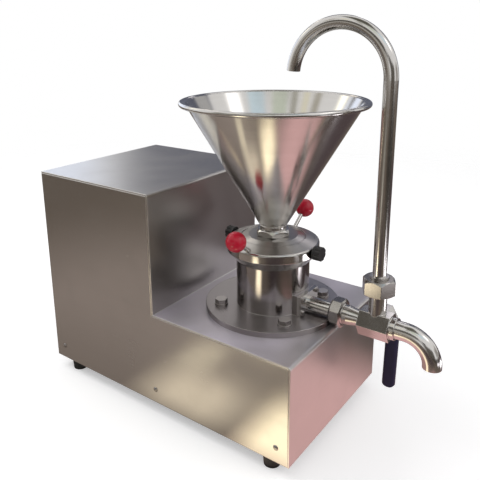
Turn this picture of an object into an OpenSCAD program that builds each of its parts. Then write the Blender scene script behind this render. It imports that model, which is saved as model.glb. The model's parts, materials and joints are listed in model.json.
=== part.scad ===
// Bench-size colloid mill: cabinet with motor, grinding head, hopper, outlet valve and return pipe.
// Millimetres, +Z up, +X towards the spout. The origin is on the floor under the middle.

/* [Cabinet] */
// Width of the cabinet
body_w = 260; // [250:1:300]
// Length of the tall rear part
tall_l = 234; // [222:1:260]
// Gap between the tall part and the housing's flange
step_gap = 23; // [16:1:30]
// Width of the deck ahead of the housing's flange
deck_edge = 11; // [8:1:16]
// Height of the tall part above its lower edge
tall_h = 326; // [318:1:380]
// Height of the deck above the lower edge
deck_h = 145; // [142:1:160]
// Thickness of the cabinet sheet
sheet_t = 2; // [1.5:0.5:2.5]
// Outside radius of the folded edges
bend_r = 4; // [3:0.5:6]
// Gap at the sheet seams
seam = 0.3; // [0.1:0.05:0.3]
// Thickness of the base tray
tray_t = 3; // [2:0.5:4]
// Height of the base tray's upturned edge
tray_edge = 34; // [30:1:40]
// Height of the panel screws above the lower edge
screw_rise = 22; // [18:1:26]
// Distance of the end screws from the cabinet's ends
screw_inset = 20; // [16:1:26]
// Radius of a panel screw's head
screw_head_r = 4; // [3.5:0.5:5]
// Height of a panel screw's head
screw_head_h = 2.2; // [1.5:0.1:3]
// Radius of a panel screw's shank
screw_r = 2.4; // [2:0.1:2.6]
// Length of a panel screw's shank
screw_l = 8; // [7:0.5:8.5]
// Clearance of a screw or bolt in its hole
hole_gap = 0.2; // [0.1:0.05:0.3]

/* [Feet] */
// Height of a rubber foot
foot_h = 20; // [16:1:24]
// Radius of a foot at its top
foot_r = 13; // [12:0.5:14]
// Radius of a foot at the floor
foot_low_r = 11.5; // [11:0.5:12]
// Distance of the feet from the cabinet's ends
foot_inset_x = 36; // [32:1:44]
// Distance of the feet from the cabinet's sides
foot_inset_y = 17; // [16:1:22]
// Radius of the recess under a foot
foot_recess_r = 6.5; // [6:0.1:7]
// Depth of the recess under a foot
foot_recess = 8; // [7:0.5:10]
// Radius of a foot bolt
foot_bolt_r = 3; // [2.5:0.1:3.5]
// Radius of a foot bolt's head
foot_head_r = 5; // [4.5:0.1:5.5]
// Height of a foot bolt's head
foot_head_h = 4; // [3:0.5:5]
// Width across flats of a foot bolt's nut
foot_nut_af = 10; // [9:0.5:11]
// Height of a foot bolt's nut
foot_nut_h = 5; // [4:0.5:6]

/* [Rear panel] */
// Number of louvres in a column
louvre_rows = 6; // [4:1:7]
// Length of a louvre
louvre_l = 70; // [60:1:76]
// Distance between louvres
louvre_pitch = 16; // [15:0.5:18]
// Radius of a louvre's hood
louvre_r = 5; // [4:0.5:5.5]
// Distance of the louvre columns from the middle
louvre_side = 50; // [48:1:56]
// Height of the lowest louvre above the lower edge
louvre_rise = 80; // [76:1:90]
// How far the cable gland stands out
gland_out = 22; // [18:1:28]
// Radius of the gland's cap
gland_r = 9; // [8:0.5:10]
// Radius of the gland's cable hole
gland_bore = 4.5; // [4:0.1:5]
// Width across flats of the gland
gland_af = 22; // [21:0.5:24]
// Height of the gland's hexagon
gland_hex_h = 6; // [5:0.5:8]
// Radius of the gland's thread
gland_thread_r = 8; // [7:0.1:8.5]
// Distance of the gland from the middle
gland_side = 60; // [56:1:62]
// Height of the gland above the lower edge
gland_rise = 52; // [50:1:56]

/* [Switch] */
// Width of the switch bezel
bezel_w = 46; // [42:1:50]
// Height of the switch bezel
bezel_h = 82; // [78:1:90]
// Thickness of the switch bezel
bezel_t = 3; // [2:0.5:4]
// Distance of the switch from the middle
switch_side = 66; // [62:1:70]
// Distance of the switch from the top
switch_drop = 76; // [70:1:84]
// Radius of a push button
button_r = 10; // [9:0.5:11]
// Clearance of a push button in its hole
button_gap = 0.3; // [0.2:0.05:0.4]
// How far a button stands out of the bezel
button_out = 6; // [5:0.5:8]
// Travel of a button
button_travel = 3.5; // [2:0.5:4]
// Width of the retaining edge of a button
button_edge = 1.8; // [1.5:0.1:2]
// Distance between the two buttons
button_pitch = 38; // [34:1:40]
// Depth of the contact block
block_depth = 42; // [38:1:45]

/* [Motor] */
// Height of the motor bracket's plate above the lower edge
bracket_rise = 70; // [68:1:76]
// Thickness of the bracket plates
plate_t = 8; // [6:0.5:9]
// Length and width of the motor bracket's plate
bracket_w = 190; // [184:1:196]
// Width of a leg of the frames
leg_w = 20; // [16:1:22]
// Radius of the motor flange
motor_flange_r = 80; // [78:0.5:82]
// Thickness of the motor flange
motor_flange_t = 10; // [8:0.5:12]
// Radius of the motor's bolt circle
motor_bolt_pcd = 72; // [71:0.5:73]
// Radius of a motor bolt
motor_bolt_r = 4; // [3.5:0.1:4.5]
// Width across flats of a motor bolt
motor_bolt_af = 13; // [12:0.5:14]
// Height of a motor bolt's head
motor_head_h = 5; // [4:0.5:6]
// Length of the finned motor frame
motor_l = 142; // [136:1:148]
// Radius of the motor frame
motor_r = 60; // [58:0.5:61]
// Height of the motor's fins
fin_h = 7; // [5:0.5:8]
// Thickness of a fin
fin_t = 2.6; // [2:0.1:3.2]
// Number of fins
fin_count = 28; // [20:2:32]
// Radius of the winding
winding_r = 48; // [46:0.5:50]
// Radius of the motor's rotor core
core_r = 34; // [32:0.5:36]
// Gap between rotor core and winding
air_gap = 0.5; // [0.3:0.1:0.8]
// Length of the motor's core
core_l = 90; // [80:1:96]
// Thickness of the motor's end walls
motor_wall = 12; // [10:0.5:13]
// Radius of the motor shaft
motor_shaft_r = 9.5; // [9:0.5:10]
// Running clearance of the shafts
shaft_gap = 0.4; // [0.3:0.05:0.6]
// Outer radius of the fan cover
fan_cover_r = 68; // [66:0.5:69]
// Height of the fan cover
fan_cover_h = 58; // [54:1:62]
// Thickness of the fan cover
fan_cover_t = 1.5; // [1:0.1:2]
// Height of the fan's blades
fan_h = 22; // [18:1:26]
// Number of fan blades
fan_blades = 7; // [5:1:9]
// Radius of the fan
fan_r = 58; // [54:0.5:60]
// Width of the terminal box
term_w = 60; // [50:1:66]
// Depth of the terminal box
term_d = 34; // [28:1:38]
// Height of the terminal box
term_h = 56; // [48:1:60]

/* [Belt drive] */
// Height of the pulleys' lower faces above the lower edge
pulley_rise = 22; // [20:0.5:24]
// Height of a pulley
pulley_h = 30; // [28:0.5:31]
// Outer radius of the drive pulley
drive_r = 42; // [38:0.5:46]
// Outer radius of the driven pulley
driven_r = 34; // [32:0.5:40]
// Width of a belt outside
belt_w = 10; // [9:0.2:10.6]
// Width of a belt inside
belt_low_w = 5.9; // [5:0.1:6.5]
// Thickness of a belt
belt_h = 6; // [5:0.2:7]
// Clearance of a belt in its groove
belt_gap = 0.25; // [0.15:0.05:0.3]
// Depth of a groove below the belt
groove_gap = 2; // [1:0.2:3]
// Number of belts
belt_count = 2; // [1:1:2]

/* [Spindle] */
// Radius of the bearing housing
carrier_r = 42; // [41:0.5:44]
// Length of the bearing housing below the deck
carrier_l = 88; // [86:0.5:90]
// Bore of the bearing housing between the bearings
carrier_bore = 24; // [23.5:0.1:25]
// Clearance round the bearing housing in the deck
carrier_gap = 1; // [0.5:0.1:2]
// Outer radius of the upper bearing
upper_r = 31; // [30.5:0.1:32]
// Bore radius of the upper bearing
upper_bore = 15; // [14.5:0.1:15.5]
// Height of the upper bearing
upper_h = 16; // [15:0.5:17]
// Depth of the upper bearing's top under the deck
upper_depth = 14; // [12:0.5:16]
// Radius of an upper bearing ball
upper_ball = 4.7; // [4.4:0.1:4.9]
// Outer radius of the lower bearing
lower_r = 26; // [25.8:0.1:27]
// Bore radius of the lower bearing
lower_bore = 12.5; // [12:0.1:13]
// Height of the lower bearing
lower_h = 15; // [14:0.5:16]
// Depth of the lower bearing's top under the deck
lower_depth = 66; // [64:0.5:68]
// Radius of a lower bearing ball
lower_ball = 4; // [3.8:0.1:4.2]
// Number of balls in a bearing
ball_count = 9; // [7:1:9]
// Gap between balls and races
race_gap = 0.3; // [0.2:0.05:0.4]
// Clearance of pressed and screwed seats
fit = 0.05; // [0.02:0.01:0.08]
// Radius of the spindle at the seal
seal_shaft_r = 13; // [12.5:0.1:13.5]
// Radius of the spindle in the rotor
rotor_shaft_r = 10; // [9:0.5:11]
// Radius of the spindle's top thread
top_thread_r = 6; // [5:0.5:7]
// Length of the spindle's top thread
top_thread_l = 10; // [8:0.5:11]
// Outer radius of the seal seat
seat_r = 21; // [20:0.5:22]
// Height of the seal seat above the chamber floor
seat_up = 2; // [1:0.5:3]
// Depth of the seal seat in the chamber floor
seat_depth = 7; // [6:0.5:8]
// Outer radius of the seal ring
seal_r = 18; // [17:0.5:19]
// Running gap of the seal faces
seal_gap = 0.15; // [0.1:0.05:0.3]

/* [Mill head] */
// Radius of the housing's flange
flange_r = 99; // [96:0.5:101]
// Thickness of the housing's flange
flange_t = 8; // [7:0.5:10]
// Radius of the flange's bolt circle
flange_bolt_pcd = 77; // [74:0.5:80]
// Radius of a flange bolt
flange_bolt_r = 5; // [4:0.5:6]
// Width across flats of a flange bolt
flange_bolt_af = 16; // [14:0.5:18]
// Height of a flange bolt's head
flange_head_h = 6.4; // [5:0.2:8]
// Radius of a flange bolt's washer
washer_r = 10; // [9.5:0.1:10.5]
// Thickness of a flange bolt's washer
washer_t = 1.6; // [1:0.1:2]
// Radius of the housing
housing_r = 53.5; // [52:0.5:55]
// Height of the chamber floor above the deck
floor_rise = 12; // [11:0.5:13]
// Height of the ring's thread above the deck
thread_rise = 77; // [75:0.5:79]
// Height of the housing's top above the deck
housing_rise = 100; // [98:0.5:101]
// Radius of the ring's thread
thread_r = 49; // [48.5:0.1:49.5]
// Clearance of the ring on its thread
thread_gap = 0.4; // [0.3:0.05:0.5]
// Outer radius of the stator
stator_r = 44; // [43.5:0.1:44.2]
// Clearance of the stator in the housing
stator_gap = 0.4; // [0.3:0.05:0.5]
// Radius of the rotor's wide end
rotor_r = 37; // [36:0.5:38]
// Radius of the rotor's narrow end
rotor_top_r = 25; // [24:0.5:26]
// Height of the rotor's underside above the deck
rotor_rise = 26; // [25:0.5:27]
// Height of the rotor's base disc
rotor_base_h = 8; // [7:0.5:9]
// Height of the rotor's cone
rotor_h = 56; // [54:0.5:57]
// Grinding gap with the ring screwed down
grind_gap = 0.5; // [0.4:0.05:0.8]
// Number of grooves in the rotor
rotor_teeth = 18; // [12:1:20]
// Number of grooves in the stator
stator_teeth = 20; // [12:1:22]
// Width of a groove
tooth_w = 3; // [2:0.2:3.4]
// Depth of a groove
tooth_depth = 2.4; // [1.5:0.1:3]
// Slant of the grooves
tooth_slant = 16; // [5:1:20]
// Height of the rotor's scraper vanes
vane_h = 9; // [7:0.5:9.5]
// Radius that the vanes reach
vane_r = 40; // [38:0.5:41]
// Thickness of a vane
vane_t = 5; // [4:0.5:6]
// Number of vanes
vane_count = 4; // [3:1:6]
// Radius of the feed nut
feed_nut_r = 11; // [10:0.5:12]
// Height of the feed nut
feed_nut_h = 13; // [12:0.5:14]

/* [Adjusting ring] */
// Radius of the ring's rim
ring_r = 67; // [65:0.5:69]
// Radius of the ring's lower edge
ring_low_r = 55; // [54:0.5:57]
// Height of the ring's tapered part
ring_taper_h = 14; // [12:0.5:15]
// Height of the ring's straight rim
ring_rim_h = 14; // [13:0.5:16]
// Rise of the ring's sloping top
ring_dome = 5; // [4:0.5:6]
// Radius of the ring's rounded shoulder
ring_round = 4; // [3:0.5:5]
// Gap under the ring when screwed down
ring_gap = 0.3; // [0.2:0.05:0.5]
// Thickness of the ring's inner lip
lip_t = 3.5; // [3:0.1:4]
// Gap between the housing's top and the lip
lip_gap = 1; // [0.5:0.1:2]
// Radius of the cover disc
cover_r = 46.5; // [46:0.1:47]
// Clearance of the cover disc in the ring
cover_gap = 0.4; // [0.3:0.05:0.6]
// Thickness of the cover disc's edge
cover_edge = 5; // [4:0.5:6]
// Rise of the cover disc's middle
cover_rise = 3; // [2:0.5:4]
// Radius of the cover disc's flat middle
cover_flat_r = 36; // [34:0.5:38]
// Thread pitch of the ring, for its lift in a turn
thread_pitch = 1.5; // [1:0.25:2]
// Radius of a lever rod
rod_r = 3; // [2.5:0.1:3.5]
// Length of a lever rod outside the ring
rod_l = 36; // [30:1:44]
// Depth of a lever rod in the ring
rod_depth = 8; // [6:0.5:9]
// Distance of the lever rods from the mill axis
rod_out = 62; // [60:0.5:63]
// Slope of the lever rods above level
rod_slope = 37; // [30:1:50]
// Radius of a lever ball
lever_ball_r = 14; // [12:0.5:15]
// Radius of a lock stud
stud_r = 4; // [3.5:0.1:4.5]
// Clearance of a lock stud in the ring
stud_gap = 0.08; // [0.05:0.01:0.1]
// Radius of a lock knob
knob_r = 10; // [9:0.5:11]
// Length of a lock knob
knob_l = 12; // [11:0.5:15]
// Gap between a lock knob and the ring
knob_gap = 1.5; // [1:0.1:3]
// Number of flutes on a lock knob
knob_flutes = 8; // [6:1:10]
// Radius of a flute
flute_r = 2; // [1.5:0.1:2.4]

/* [Hopper] */
// Outer radius of the hopper's neck
neck_r = 19.5; // [18.5:0.1:20]
// Thickness of the hopper's wall
hopper_wall = 1.5; // [1:0.1:2]
// Depth of the neck in the cover disc
neck_depth = 6; // [5:0.5:6.5]
// Height of the neck above the cover disc
neck_h = 14; // [12:0.5:18]
// Outer radius of the cone's top
cone_r = 123.5; // [112:0.5:124.5]
// Height of the cone
cone_h = 177.5; // [160:0.5:182]
// Radius of the rolled rim
bead_r = 3.4; // [2.5:0.1:4]
// Width of the lip outside the cone's top
rim_lip = 4; // [2:0.5:5]
// Width across flats of the hopper nut
hopper_nut_af = 46; // [44:0.5:52]
// Height of the hopper nut
hopper_nut_h = 9; // [8:0.5:10]

/* [Outlet line] */
// Height of the outlet axis above the deck
outlet_rise = 20; // [19.5:0.1:21]
// Distance of the valve from the mill axis
valve_out = 164; // [160:0.5:170]
// Radius of the outlet pipe
pipe_r = 10.6; // [10:0.1:11]
// Bore radius of the outlet line
bore_r = 7.5; // [7:0.1:8]
// Distance of the housing's boss from the mill axis
boss_out = 56; // [55.5:0.1:57]
// Width of the boss and its flange
boss_w = 48; // [44:0.5:50]
// Height of the boss's top above the deck
boss_rise = 37; // [36:0.5:39]
// Thickness of the outlet pipe's flange
pipe_flange_t = 6; // [5:0.5:7]
// Distance of a block screw from the flange's edges
block_screw_inset = 4.5; // [4.2:0.1:4.8]
// Radius of a block screw's head
block_head_r = 3.4; // [3:0.1:3.6]
// Height of a block screw's head
block_head_h = 3.4; // [3:0.1:4]
// Radius of a block screw's shank
block_screw_r = 1.9; // [1.6:0.1:2]
// Length of a block screw's shank
block_screw_l = 14; // [12:0.5:15]
// Length of the union nut
union_l = 18; // [17:0.5:20]
// Width across flats of the union nut
union_af = 38; // [36:0.5:38.5]
// Thickness of the union nut's lip
union_lip = 2.7; // [2:0.1:3]
// Radius of the union nut's thread
union_thread_r = 15; // [14.5:0.1:15.2]
// Radius of the pipe's collar
collar_r = 14; // [13.5:0.1:14.2]
// Thickness of the pipes' collars
collar_t = 4; // [3:0.5:5]
// Gap between the housing's flange and the union nut
union_stand = 0.6; // [0.4:0.1:1]
// Gap between the parts of a union
union_gap = 0.3; // [0.15:0.05:0.3]
// Radius of the hub ahead of the union nut
tail_hub_r = 13.5; // [13:0.1:14]
// Width of the hub ahead of the union nut
tail_hub_l = 7; // [6:0.5:8]

/* [Valve] */
// Width across flats of the valve body
valve_af = 35; // [33:0.5:36]
// Length of the valve body behind its middle
valve_rear = 21; // [20:0.5:23]
// Length of the valve body ahead of its middle
valve_front = 21; // [20:0.5:23]
// Radius of the valve's end cap
cap_r = 15; // [14:0.1:16]
// Length of the valve's end cap
cap_l = 7; // [6:0.5:9]
// Radius of the tail where it meets the body
tail_r = 9.8; // [9.5:0.1:11]
// Radius of the valve ball
ball_r = 12; // [11.8:0.1:12.2]
// Radius of the ball's chamber
ball_bore = 13.4; // [13.2:0.1:13.8]
// Half length of the ball's chamber
ball_half = 12.6; // [12.4:0.1:13]
// Clearance between ball and seats
ball_gap = 0.3; // [0.2:0.05:0.35]
// Inner radius of the seats
seat_bore = 8.2; // [8.1:0.1:8.6]
// Radius of the valve stem
stem_r = 5; // [4.5:0.1:5.5]
// Clearance of the stem in the body
stem_gap = 0.3; // [0.2:0.05:0.4]
// Width across flats of the stem's bonnet
bonnet_af = 32; // [28:0.5:34]
// Distance of the bonnet's end from the valve's middle
bonnet_out = 31; // [28:0.5:32]
// Radius of the stem's boss
stem_boss_r = 9.5; // [9:0.1:10]
// Distance of the stem boss's end from the valve's middle
stem_boss_out = 35; // [33:0.5:37]
// Depth of the stem in the ball
stem_in = 3; // [2.5:0.1:3.5]
// Gap between the boss and the lever
lever_gap = 0.5; // [0.3:0.1:1]
// Thickness of the lever
lever_t = 3; // [2.5:0.1:4]
// Width of the lever
lever_w = 13; // [11:0.5:14]
// Radius of the lever's hub
lever_hub_r = 11; // [10:0.5:12]
// Length of the lever
lever_l = 126; // [118:1:130]
// Forward lean of the hanging lever
lever_lean = -1; // [-2:0.5:4]
// How far the lever is cranked outwards
lever_crank = 29; // [20:0.5:31]
// Depth of the crank's start below the stem
crank_drop = 13; // [12:0.5:15]
// Height of the crank
crank_h = 24; // [20:0.5:24]
// Width of the lever's sleeve
sleeve_w = 19.5; // [18:0.5:22]
// Thickness of the lever's sleeve
sleeve_t = 11; // [9:0.5:12]
// Length of the lever's sleeve
sleeve_l = 94; // [84:1:94]
// Radius of the sleeve's rounded end
sleeve_end_r = 13; // [12:0.5:16]
// Width across flats of the lever nut
lever_nut_af = 13; // [12:0.5:14]
// Height of the lever nut
lever_nut_h = 6; // [5:0.5:7]

/* [Spout and return pipe] */
// Outer radius of the spout
spout_r = 12.3; // [12:0.1:13]
// Thickness of the pipes' walls
pipe_wall = 1.5; // [1:0.1:2]
// Radius of the spout's bend
spout_bend = 37; // [34:0.5:42]
// Straight length before the spout's bend
spout_lead = 11.7; // [8:0.1:14]
// Straight length at the spout's mouth
spout_end = 1; // [0.5:0.5:6]
// Radius of the riser's stub
stub_r = 11.8; // [11:0.1:12]
// Height of the riser's thread above the outlet axis
riser_rise = 43; // [41:0.5:46]
// Length of the riser's thread
riser_thread_l = 15; // [12:0.5:16]
// Radius of the riser's thread
riser_thread_r = 16.5; // [16:0.1:17]
// Width across flats of the riser nut
riser_nut_af = 39.5; // [39:0.5:42]
// Length of the riser nut
riser_nut_l = 22; // [21:0.5:24]
// Chamfer of the union nuts
nut_chamfer = 4; // [2:0.5:5]
// Radius of the opening in the riser nut
riser_open_r = 12.5; // [11:0.1:13]
// Height of the return pipe's ferrule above its nut
ferrule_out = 3; // [2:0.5:5]
// Radius of the return pipe's collar
riser_collar_r = 15.4; // [15:0.1:15.8]
// Outer radius of the return pipe
return_r = 9; // [8.5:0.1:9.5]
// Radius of the return pipe's bend
return_bend = 67.5; // [62:0.5:70]
// Height of the return bend's middle above the deck
return_rise = 339.5; // [332:0.5:346]
// Angle that the return pipe turns through
return_sweep = 175; // [165:1:180]

/* [Hidden] */
$fn = 72;
hex = 6;
oct = 8;
cut = 1;
steel = [0.72, 0.71, 0.7];
dark_steel = [0.45, 0.45, 0.46];
bright_steel = [0.82, 0.81, 0.8];
black = [0.08, 0.08, 0.09];
red = [0.72, 0.06, 0.12];
green = [0.05, 0.5, 0.15];
navy = [0.12, 0.12, 0.28];
grey_paint = [0.35, 0.4, 0.45];
copper = [0.72, 0.42, 0.2];
white = [0.92, 0.92, 0.9];

side_y = body_w / 2;
motor_back = tall_l / 2;
mill_back = tall_l + step_gap + flange_r;
body_l = mill_back + flange_r + deck_edge;
total_l = gland_out + mill_back + valve_out + valve_front + cap_l + spout_lead + spout_bend + spout_r;
rear_x = gland_out - total_l / 2;
front_x = rear_x + body_l;
mill_x = rear_x + mill_back;
motor_x = rear_x + motor_back;
valve_x = mill_x + valve_out;
base_z = foot_h;
deck_z = base_z + deck_h;
tray_top = base_z + tray_t;
inner_y = side_y - sheet_t;
screw_hole_r = screw_r + hole_gap;
screw_xs = [rear_x + screw_inset, rear_x + body_l / 2, front_x - screw_inset];
screw_z = base_z + screw_rise;
rear_screw_y = inner_y - screw_inset;
gland_z = base_z + gland_rise;
switch_z = base_z + tall_h - switch_drop;
button_zs = [switch_z + button_pitch / 2, switch_z - button_pitch / 2];
button_in = sheet_t + button_edge;

deck_plate_z = deck_z - sheet_t - plate_t;
carrier_hole_r = carrier_r + carrier_gap;
bracket_z = base_z + bracket_rise;
motor_z = bracket_z + plate_t;
fin_r = motor_r + fin_h;
motor_top = motor_z + motor_flange_t + motor_l;
winding_mid = motor_z + motor_flange_t + motor_l / 2;
shaft_hole_r = motor_shaft_r + shaft_gap;
pulley_z = base_z + pulley_rise;
belt_span = mill_back - motor_back;
belt_tilt = asin((drive_r - driven_r) / belt_span);
belt_run = sqrt(belt_span * belt_span - (drive_r - driven_r) * (drive_r - driven_r));
belt_pitch = pulley_h / belt_count;
belt_zs = [for (i = [0 : belt_count - 1]) pulley_z + belt_pitch * (i + 0.5)];

upper_top = deck_z - upper_depth;
lower_top = deck_z - lower_depth;
upper_pcd = (upper_r + upper_bore) / 2;
lower_pcd = (lower_r + lower_bore) / 2;
ring_share = 0.3;
floor_z = deck_z + floor_rise;
rotor_z = deck_z + rotor_rise;
cone_z = rotor_z + rotor_base_h;
rotor_top = cone_z + rotor_h;
cone_slope = (rotor_r - rotor_top_r) / rotor_h;
cone_angle = atan(cone_slope);
radial_gap = grind_gap / cos(cone_angle);
seal_top = floor_z + seat_up;

chamber_r = stator_r + stator_gap;
housing_top = deck_z + housing_rise;
ring_z = deck_z + thread_rise + ring_gap;
rim_z = ring_z + ring_taper_h;
rim_top = rim_z + ring_rim_h;
ring_top = rim_top + ring_dome;
lip_z = housing_top + lip_gap;
cover_z = lip_z + lip_t;
cover_top = cover_z + cover_edge + cover_rise;
cover_bore_r = cover_r + cover_gap;
lock_z = rim_z + ring_rim_h / 2;
dome_r = ring_r - ring_round;
rod_z = rim_top + ring_dome * (dome_r - rod_out) / (dome_r - cover_bore_r);
knob_in = ring_r + knob_gap;
stud_in = thread_r + thread_gap + cut;
throat_r = neck_r - hopper_wall - cut;
neck_z = cover_top - neck_depth;
cone_foot = cover_top + neck_h;
hopper_top = cone_foot + cone_h;
flare = (cone_r - neck_r) / cone_h;
flare_wall = hopper_wall * sqrt(1 + flare * flare);

outlet_z = deck_z + outlet_rise;
boss_z = deck_z + flange_t + seam;
boss_h = boss_rise - flange_t - seam;
block_screw_ys = [block_screw_inset - boss_w / 2, boss_w / 2 - block_screw_inset];
block_screw_zs = [boss_z + block_screw_inset, boss_z + boss_h - block_screw_inset];
pipe_x = mill_x + boss_out + pipe_flange_t;
union_x = mill_x + flange_r + union_stand;
union_end = union_x + union_l;
collar_x = union_x + union_lip + union_gap;
tail_x = collar_x + collar_t + union_gap;
tail_end = union_end + tail_hub_l;
spout_x = valve_x + valve_front + cap_l;
riser_z = outlet_z + riser_rise;
riser_top = riser_z + riser_thread_l;
riser_nut_z = riser_z + cut;
return_z = deck_z + return_rise;
return_foot = riser_top + union_gap;
ferrule_r = riser_open_r - union_gap;
lever_y = stem_boss_out + lever_gap;
stem_end = lever_y + lever_t + lever_nut_h;
grip_y = lever_crank;
grip_top = -crank_drop - crank_h;

// Copies of a child at equal angles round the vertical axis
module around(count, start = 0) {
  for (i = [0 : count - 1])
    rotate([0, 0, start + i * 360 / count])
      children();
}

// A child whose vertical axis is laid along +X
module lie_x() {
  rotate([0, 90, 0])
    children();
}

// A child whose vertical axis is laid along +Y
module lie_y() {
  rotate([-90, 0, 0])
    children();
}

// Hexagonal bar by its width across flats
module hex_bar(af, h) {
  cylinder(d = af / cos(180 / hex), h = h, $fn = hex);
}

// Side view of the cabinet, stepped in by the sheet where asked
module outline(inset, rear, radius, drop) {
  top_w = tall_l - inset;
  deck_w = body_l - inset;
  translate([rear, -drop])
    square([top_w - rear - radius, tall_h - inset + drop]);
  translate([rear, -drop])
    square([top_w - rear, tall_h - inset - radius + drop]);
  translate([top_w - radius, tall_h - inset - radius])
    circle(radius);
  translate([rear, -drop])
    square([deck_w - rear - radius, deck_h - inset + drop]);
  translate([rear, -drop])
    square([deck_w - rear, deck_h - inset - radius + drop]);
  translate([deck_w - radius, deck_h - inset - radius])
    circle(radius);
}

// A child drawn in the side view, from one y to the next
module across(y0, y1) {
  translate([rear_x, y1, base_z])
    rotate([90, 0, 0])
      linear_extrude(y1 - y0)
        children();
}

// Holes for the flange bolts
module flange_holes(z, h) {
  translate([mill_x, 0, z])
    around(4, 45)
      translate([flange_bolt_pcd, 0, 0])
        cylinder(r = flange_bolt_r + hole_gap, h = h);
}

// A child at each foot
module at_feet() {
  for (x = [rear_x + foot_inset_x, front_x - foot_inset_x])
    for (y = [foot_inset_y - side_y, side_y - foot_inset_y])
      translate([x, y, 0])
        children();
}

// Folded tray that carries the frames, the panels and the feet
module base_tray() {
  low_x = rear_x + sheet_t;
  high_x = front_x - sheet_t;
  color(dark_steel)
    difference() {
      translate([low_x, -inner_y, base_z])
        cube([high_x - low_x, 2 * inner_y, tray_edge]);
      translate([low_x + tray_t, tray_t - inner_y, tray_top])
        cube([high_x - low_x - 2 * tray_t, 2 * (inner_y - tray_t), tray_edge]);
      at_feet()
        translate([0, 0, base_z - cut])
          cylinder(r = foot_bolt_r + hole_gap, h = tray_t + 2 * cut);
      for (x = screw_xs)
        translate([x, -side_y, screw_z])
          lie_y()
            cylinder(r = screw_hole_r, h = body_w);
      for (y = [-rear_screw_y, rear_screw_y])
        translate([rear_x, y, screw_z])
          lie_x()
            cylinder(r = screw_hole_r, h = sheet_t + 2 * tray_t);
    }
}

// Rubber feet with a recess for their bolts
module feet() {
  color(black)
    at_feet()
      rotate_extrude()
        polygon([[foot_recess_r, 0], [foot_low_r, 0], [foot_r, foot_h],
          [foot_bolt_r + hole_gap, foot_h], [foot_bolt_r + hole_gap, foot_recess],
          [foot_recess_r, foot_recess]]);
}

// Bolts that hold the feet, with their nuts in the tray
module foot_bolts() {
  color(bright_steel)
    at_feet() {
      translate([0, 0, foot_recess - foot_head_h])
        cylinder(r = foot_head_r, h = foot_head_h);
      translate([0, 0, foot_recess - cut])
        cylinder(r = foot_bolt_r, h = tray_top + foot_nut_h + 2 * cut - foot_recess);
      translate([0, 0, tray_top])
        hex_bar(foot_nut_af, foot_nut_h);
    }
}

// One folded sheet: top, step, deck and front
module wrap_cover() {
  color(steel)
    difference() {
      across(-side_y, side_y)
        difference() {
          outline(0, 0, bend_r, 0);
          outline(sheet_t, -cut, bend_r - sheet_t, cut);
        }
      translate([mill_x, 0, deck_z - sheet_t - cut])
        cylinder(r = carrier_hole_r, h = sheet_t + 2 * cut);
      flange_holes(deck_z - sheet_t - cut, sheet_t + 2 * cut);
    }
}

// L-shaped sheet that closes a side
module side_panel(y0, y1) {
  color(steel)
    difference() {
      across(y0, y1)
        outline(sheet_t + seam, 0, bend_r - sheet_t, 0);
      for (x = screw_xs)
        translate([x, y0 - cut, screw_z])
          lie_y()
            cylinder(r = screw_hole_r, h = sheet_t + 2 * cut);
    }
}

module near_panel() {
  side_panel(-side_y, -inner_y);
}

module far_panel() {
  side_panel(inner_y, side_y);
}

// A child at each louvre of the rear panel
module at_louvres() {
  for (y = [-louvre_side, louvre_side])
    for (i = [0 : louvre_rows - 1])
      translate([rear_x, y - louvre_l / 2, base_z + louvre_rise + i * louvre_pitch])
        lie_y()
          children();
}

// Rear sheet with louvres, switch holes and the gland's hole
module rear_panel() {
  half_w = inner_y - seam;
  color(steel)
    difference() {
      union() {
        translate([rear_x, -half_w, base_z])
          cube([sheet_t, 2 * half_w, tall_h - sheet_t - seam]);
        at_louvres()
          intersection() {
            cylinder(r = louvre_r, h = louvre_l);
            translate([-louvre_r, -louvre_r, 0])
              cube([louvre_r + cut, louvre_r, louvre_l]);
          }
      }
      at_louvres()
        translate([0, 0, sheet_t / 2])
          intersection() {
            cylinder(r = louvre_r - sheet_t / 2, h = louvre_l - sheet_t);
            translate([-louvre_r, -louvre_r, 0])
              cube([louvre_r + sheet_t + cut, louvre_r + cut, louvre_l]);
          }
      for (z = button_zs)
        translate([rear_x - cut, -switch_side, z])
          lie_x()
            cylinder(r = button_r + button_edge / 2, h = sheet_t + 2 * cut);
      translate([rear_x - cut, gland_side, gland_z])
        lie_x()
          cylinder(r = gland_thread_r + hole_gap, h = sheet_t + 2 * cut);
      for (y = [-rear_screw_y, rear_screw_y])
        translate([rear_x - cut, y, screw_z])
          lie_x()
            cylinder(r = screw_hole_r, h = sheet_t + 2 * cut);
    }
}

// One domed screw, its head's seat at the origin and its shank along +Z
module panel_screw() {
  dome_r = (screw_head_r * screw_head_r + screw_head_h * screw_head_h) / (2 * screw_head_h);
  intersection() {
    translate([0, 0, dome_r - screw_head_h])
      sphere(dome_r);
    translate([0, 0, -screw_head_h])
      cylinder(r = screw_head_r, h = screw_head_h);
  }
  translate([0, 0, -screw_head_h / 2])
    cylinder(r = screw_r, h = screw_l + screw_head_h / 2);
}

// Screws of the side and rear panels
module panel_screws() {
  color(bright_steel) {
    for (x = screw_xs)
      for (side = [-1, 1])
        translate([x, side * side_y, screw_z])
          rotate([side * 90, 0, 0])
            panel_screw();
    for (y = [-rear_screw_y, rear_screw_y])
      translate([rear_x, y, screw_z])
        lie_x()
          panel_screw();
  }
}

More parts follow.
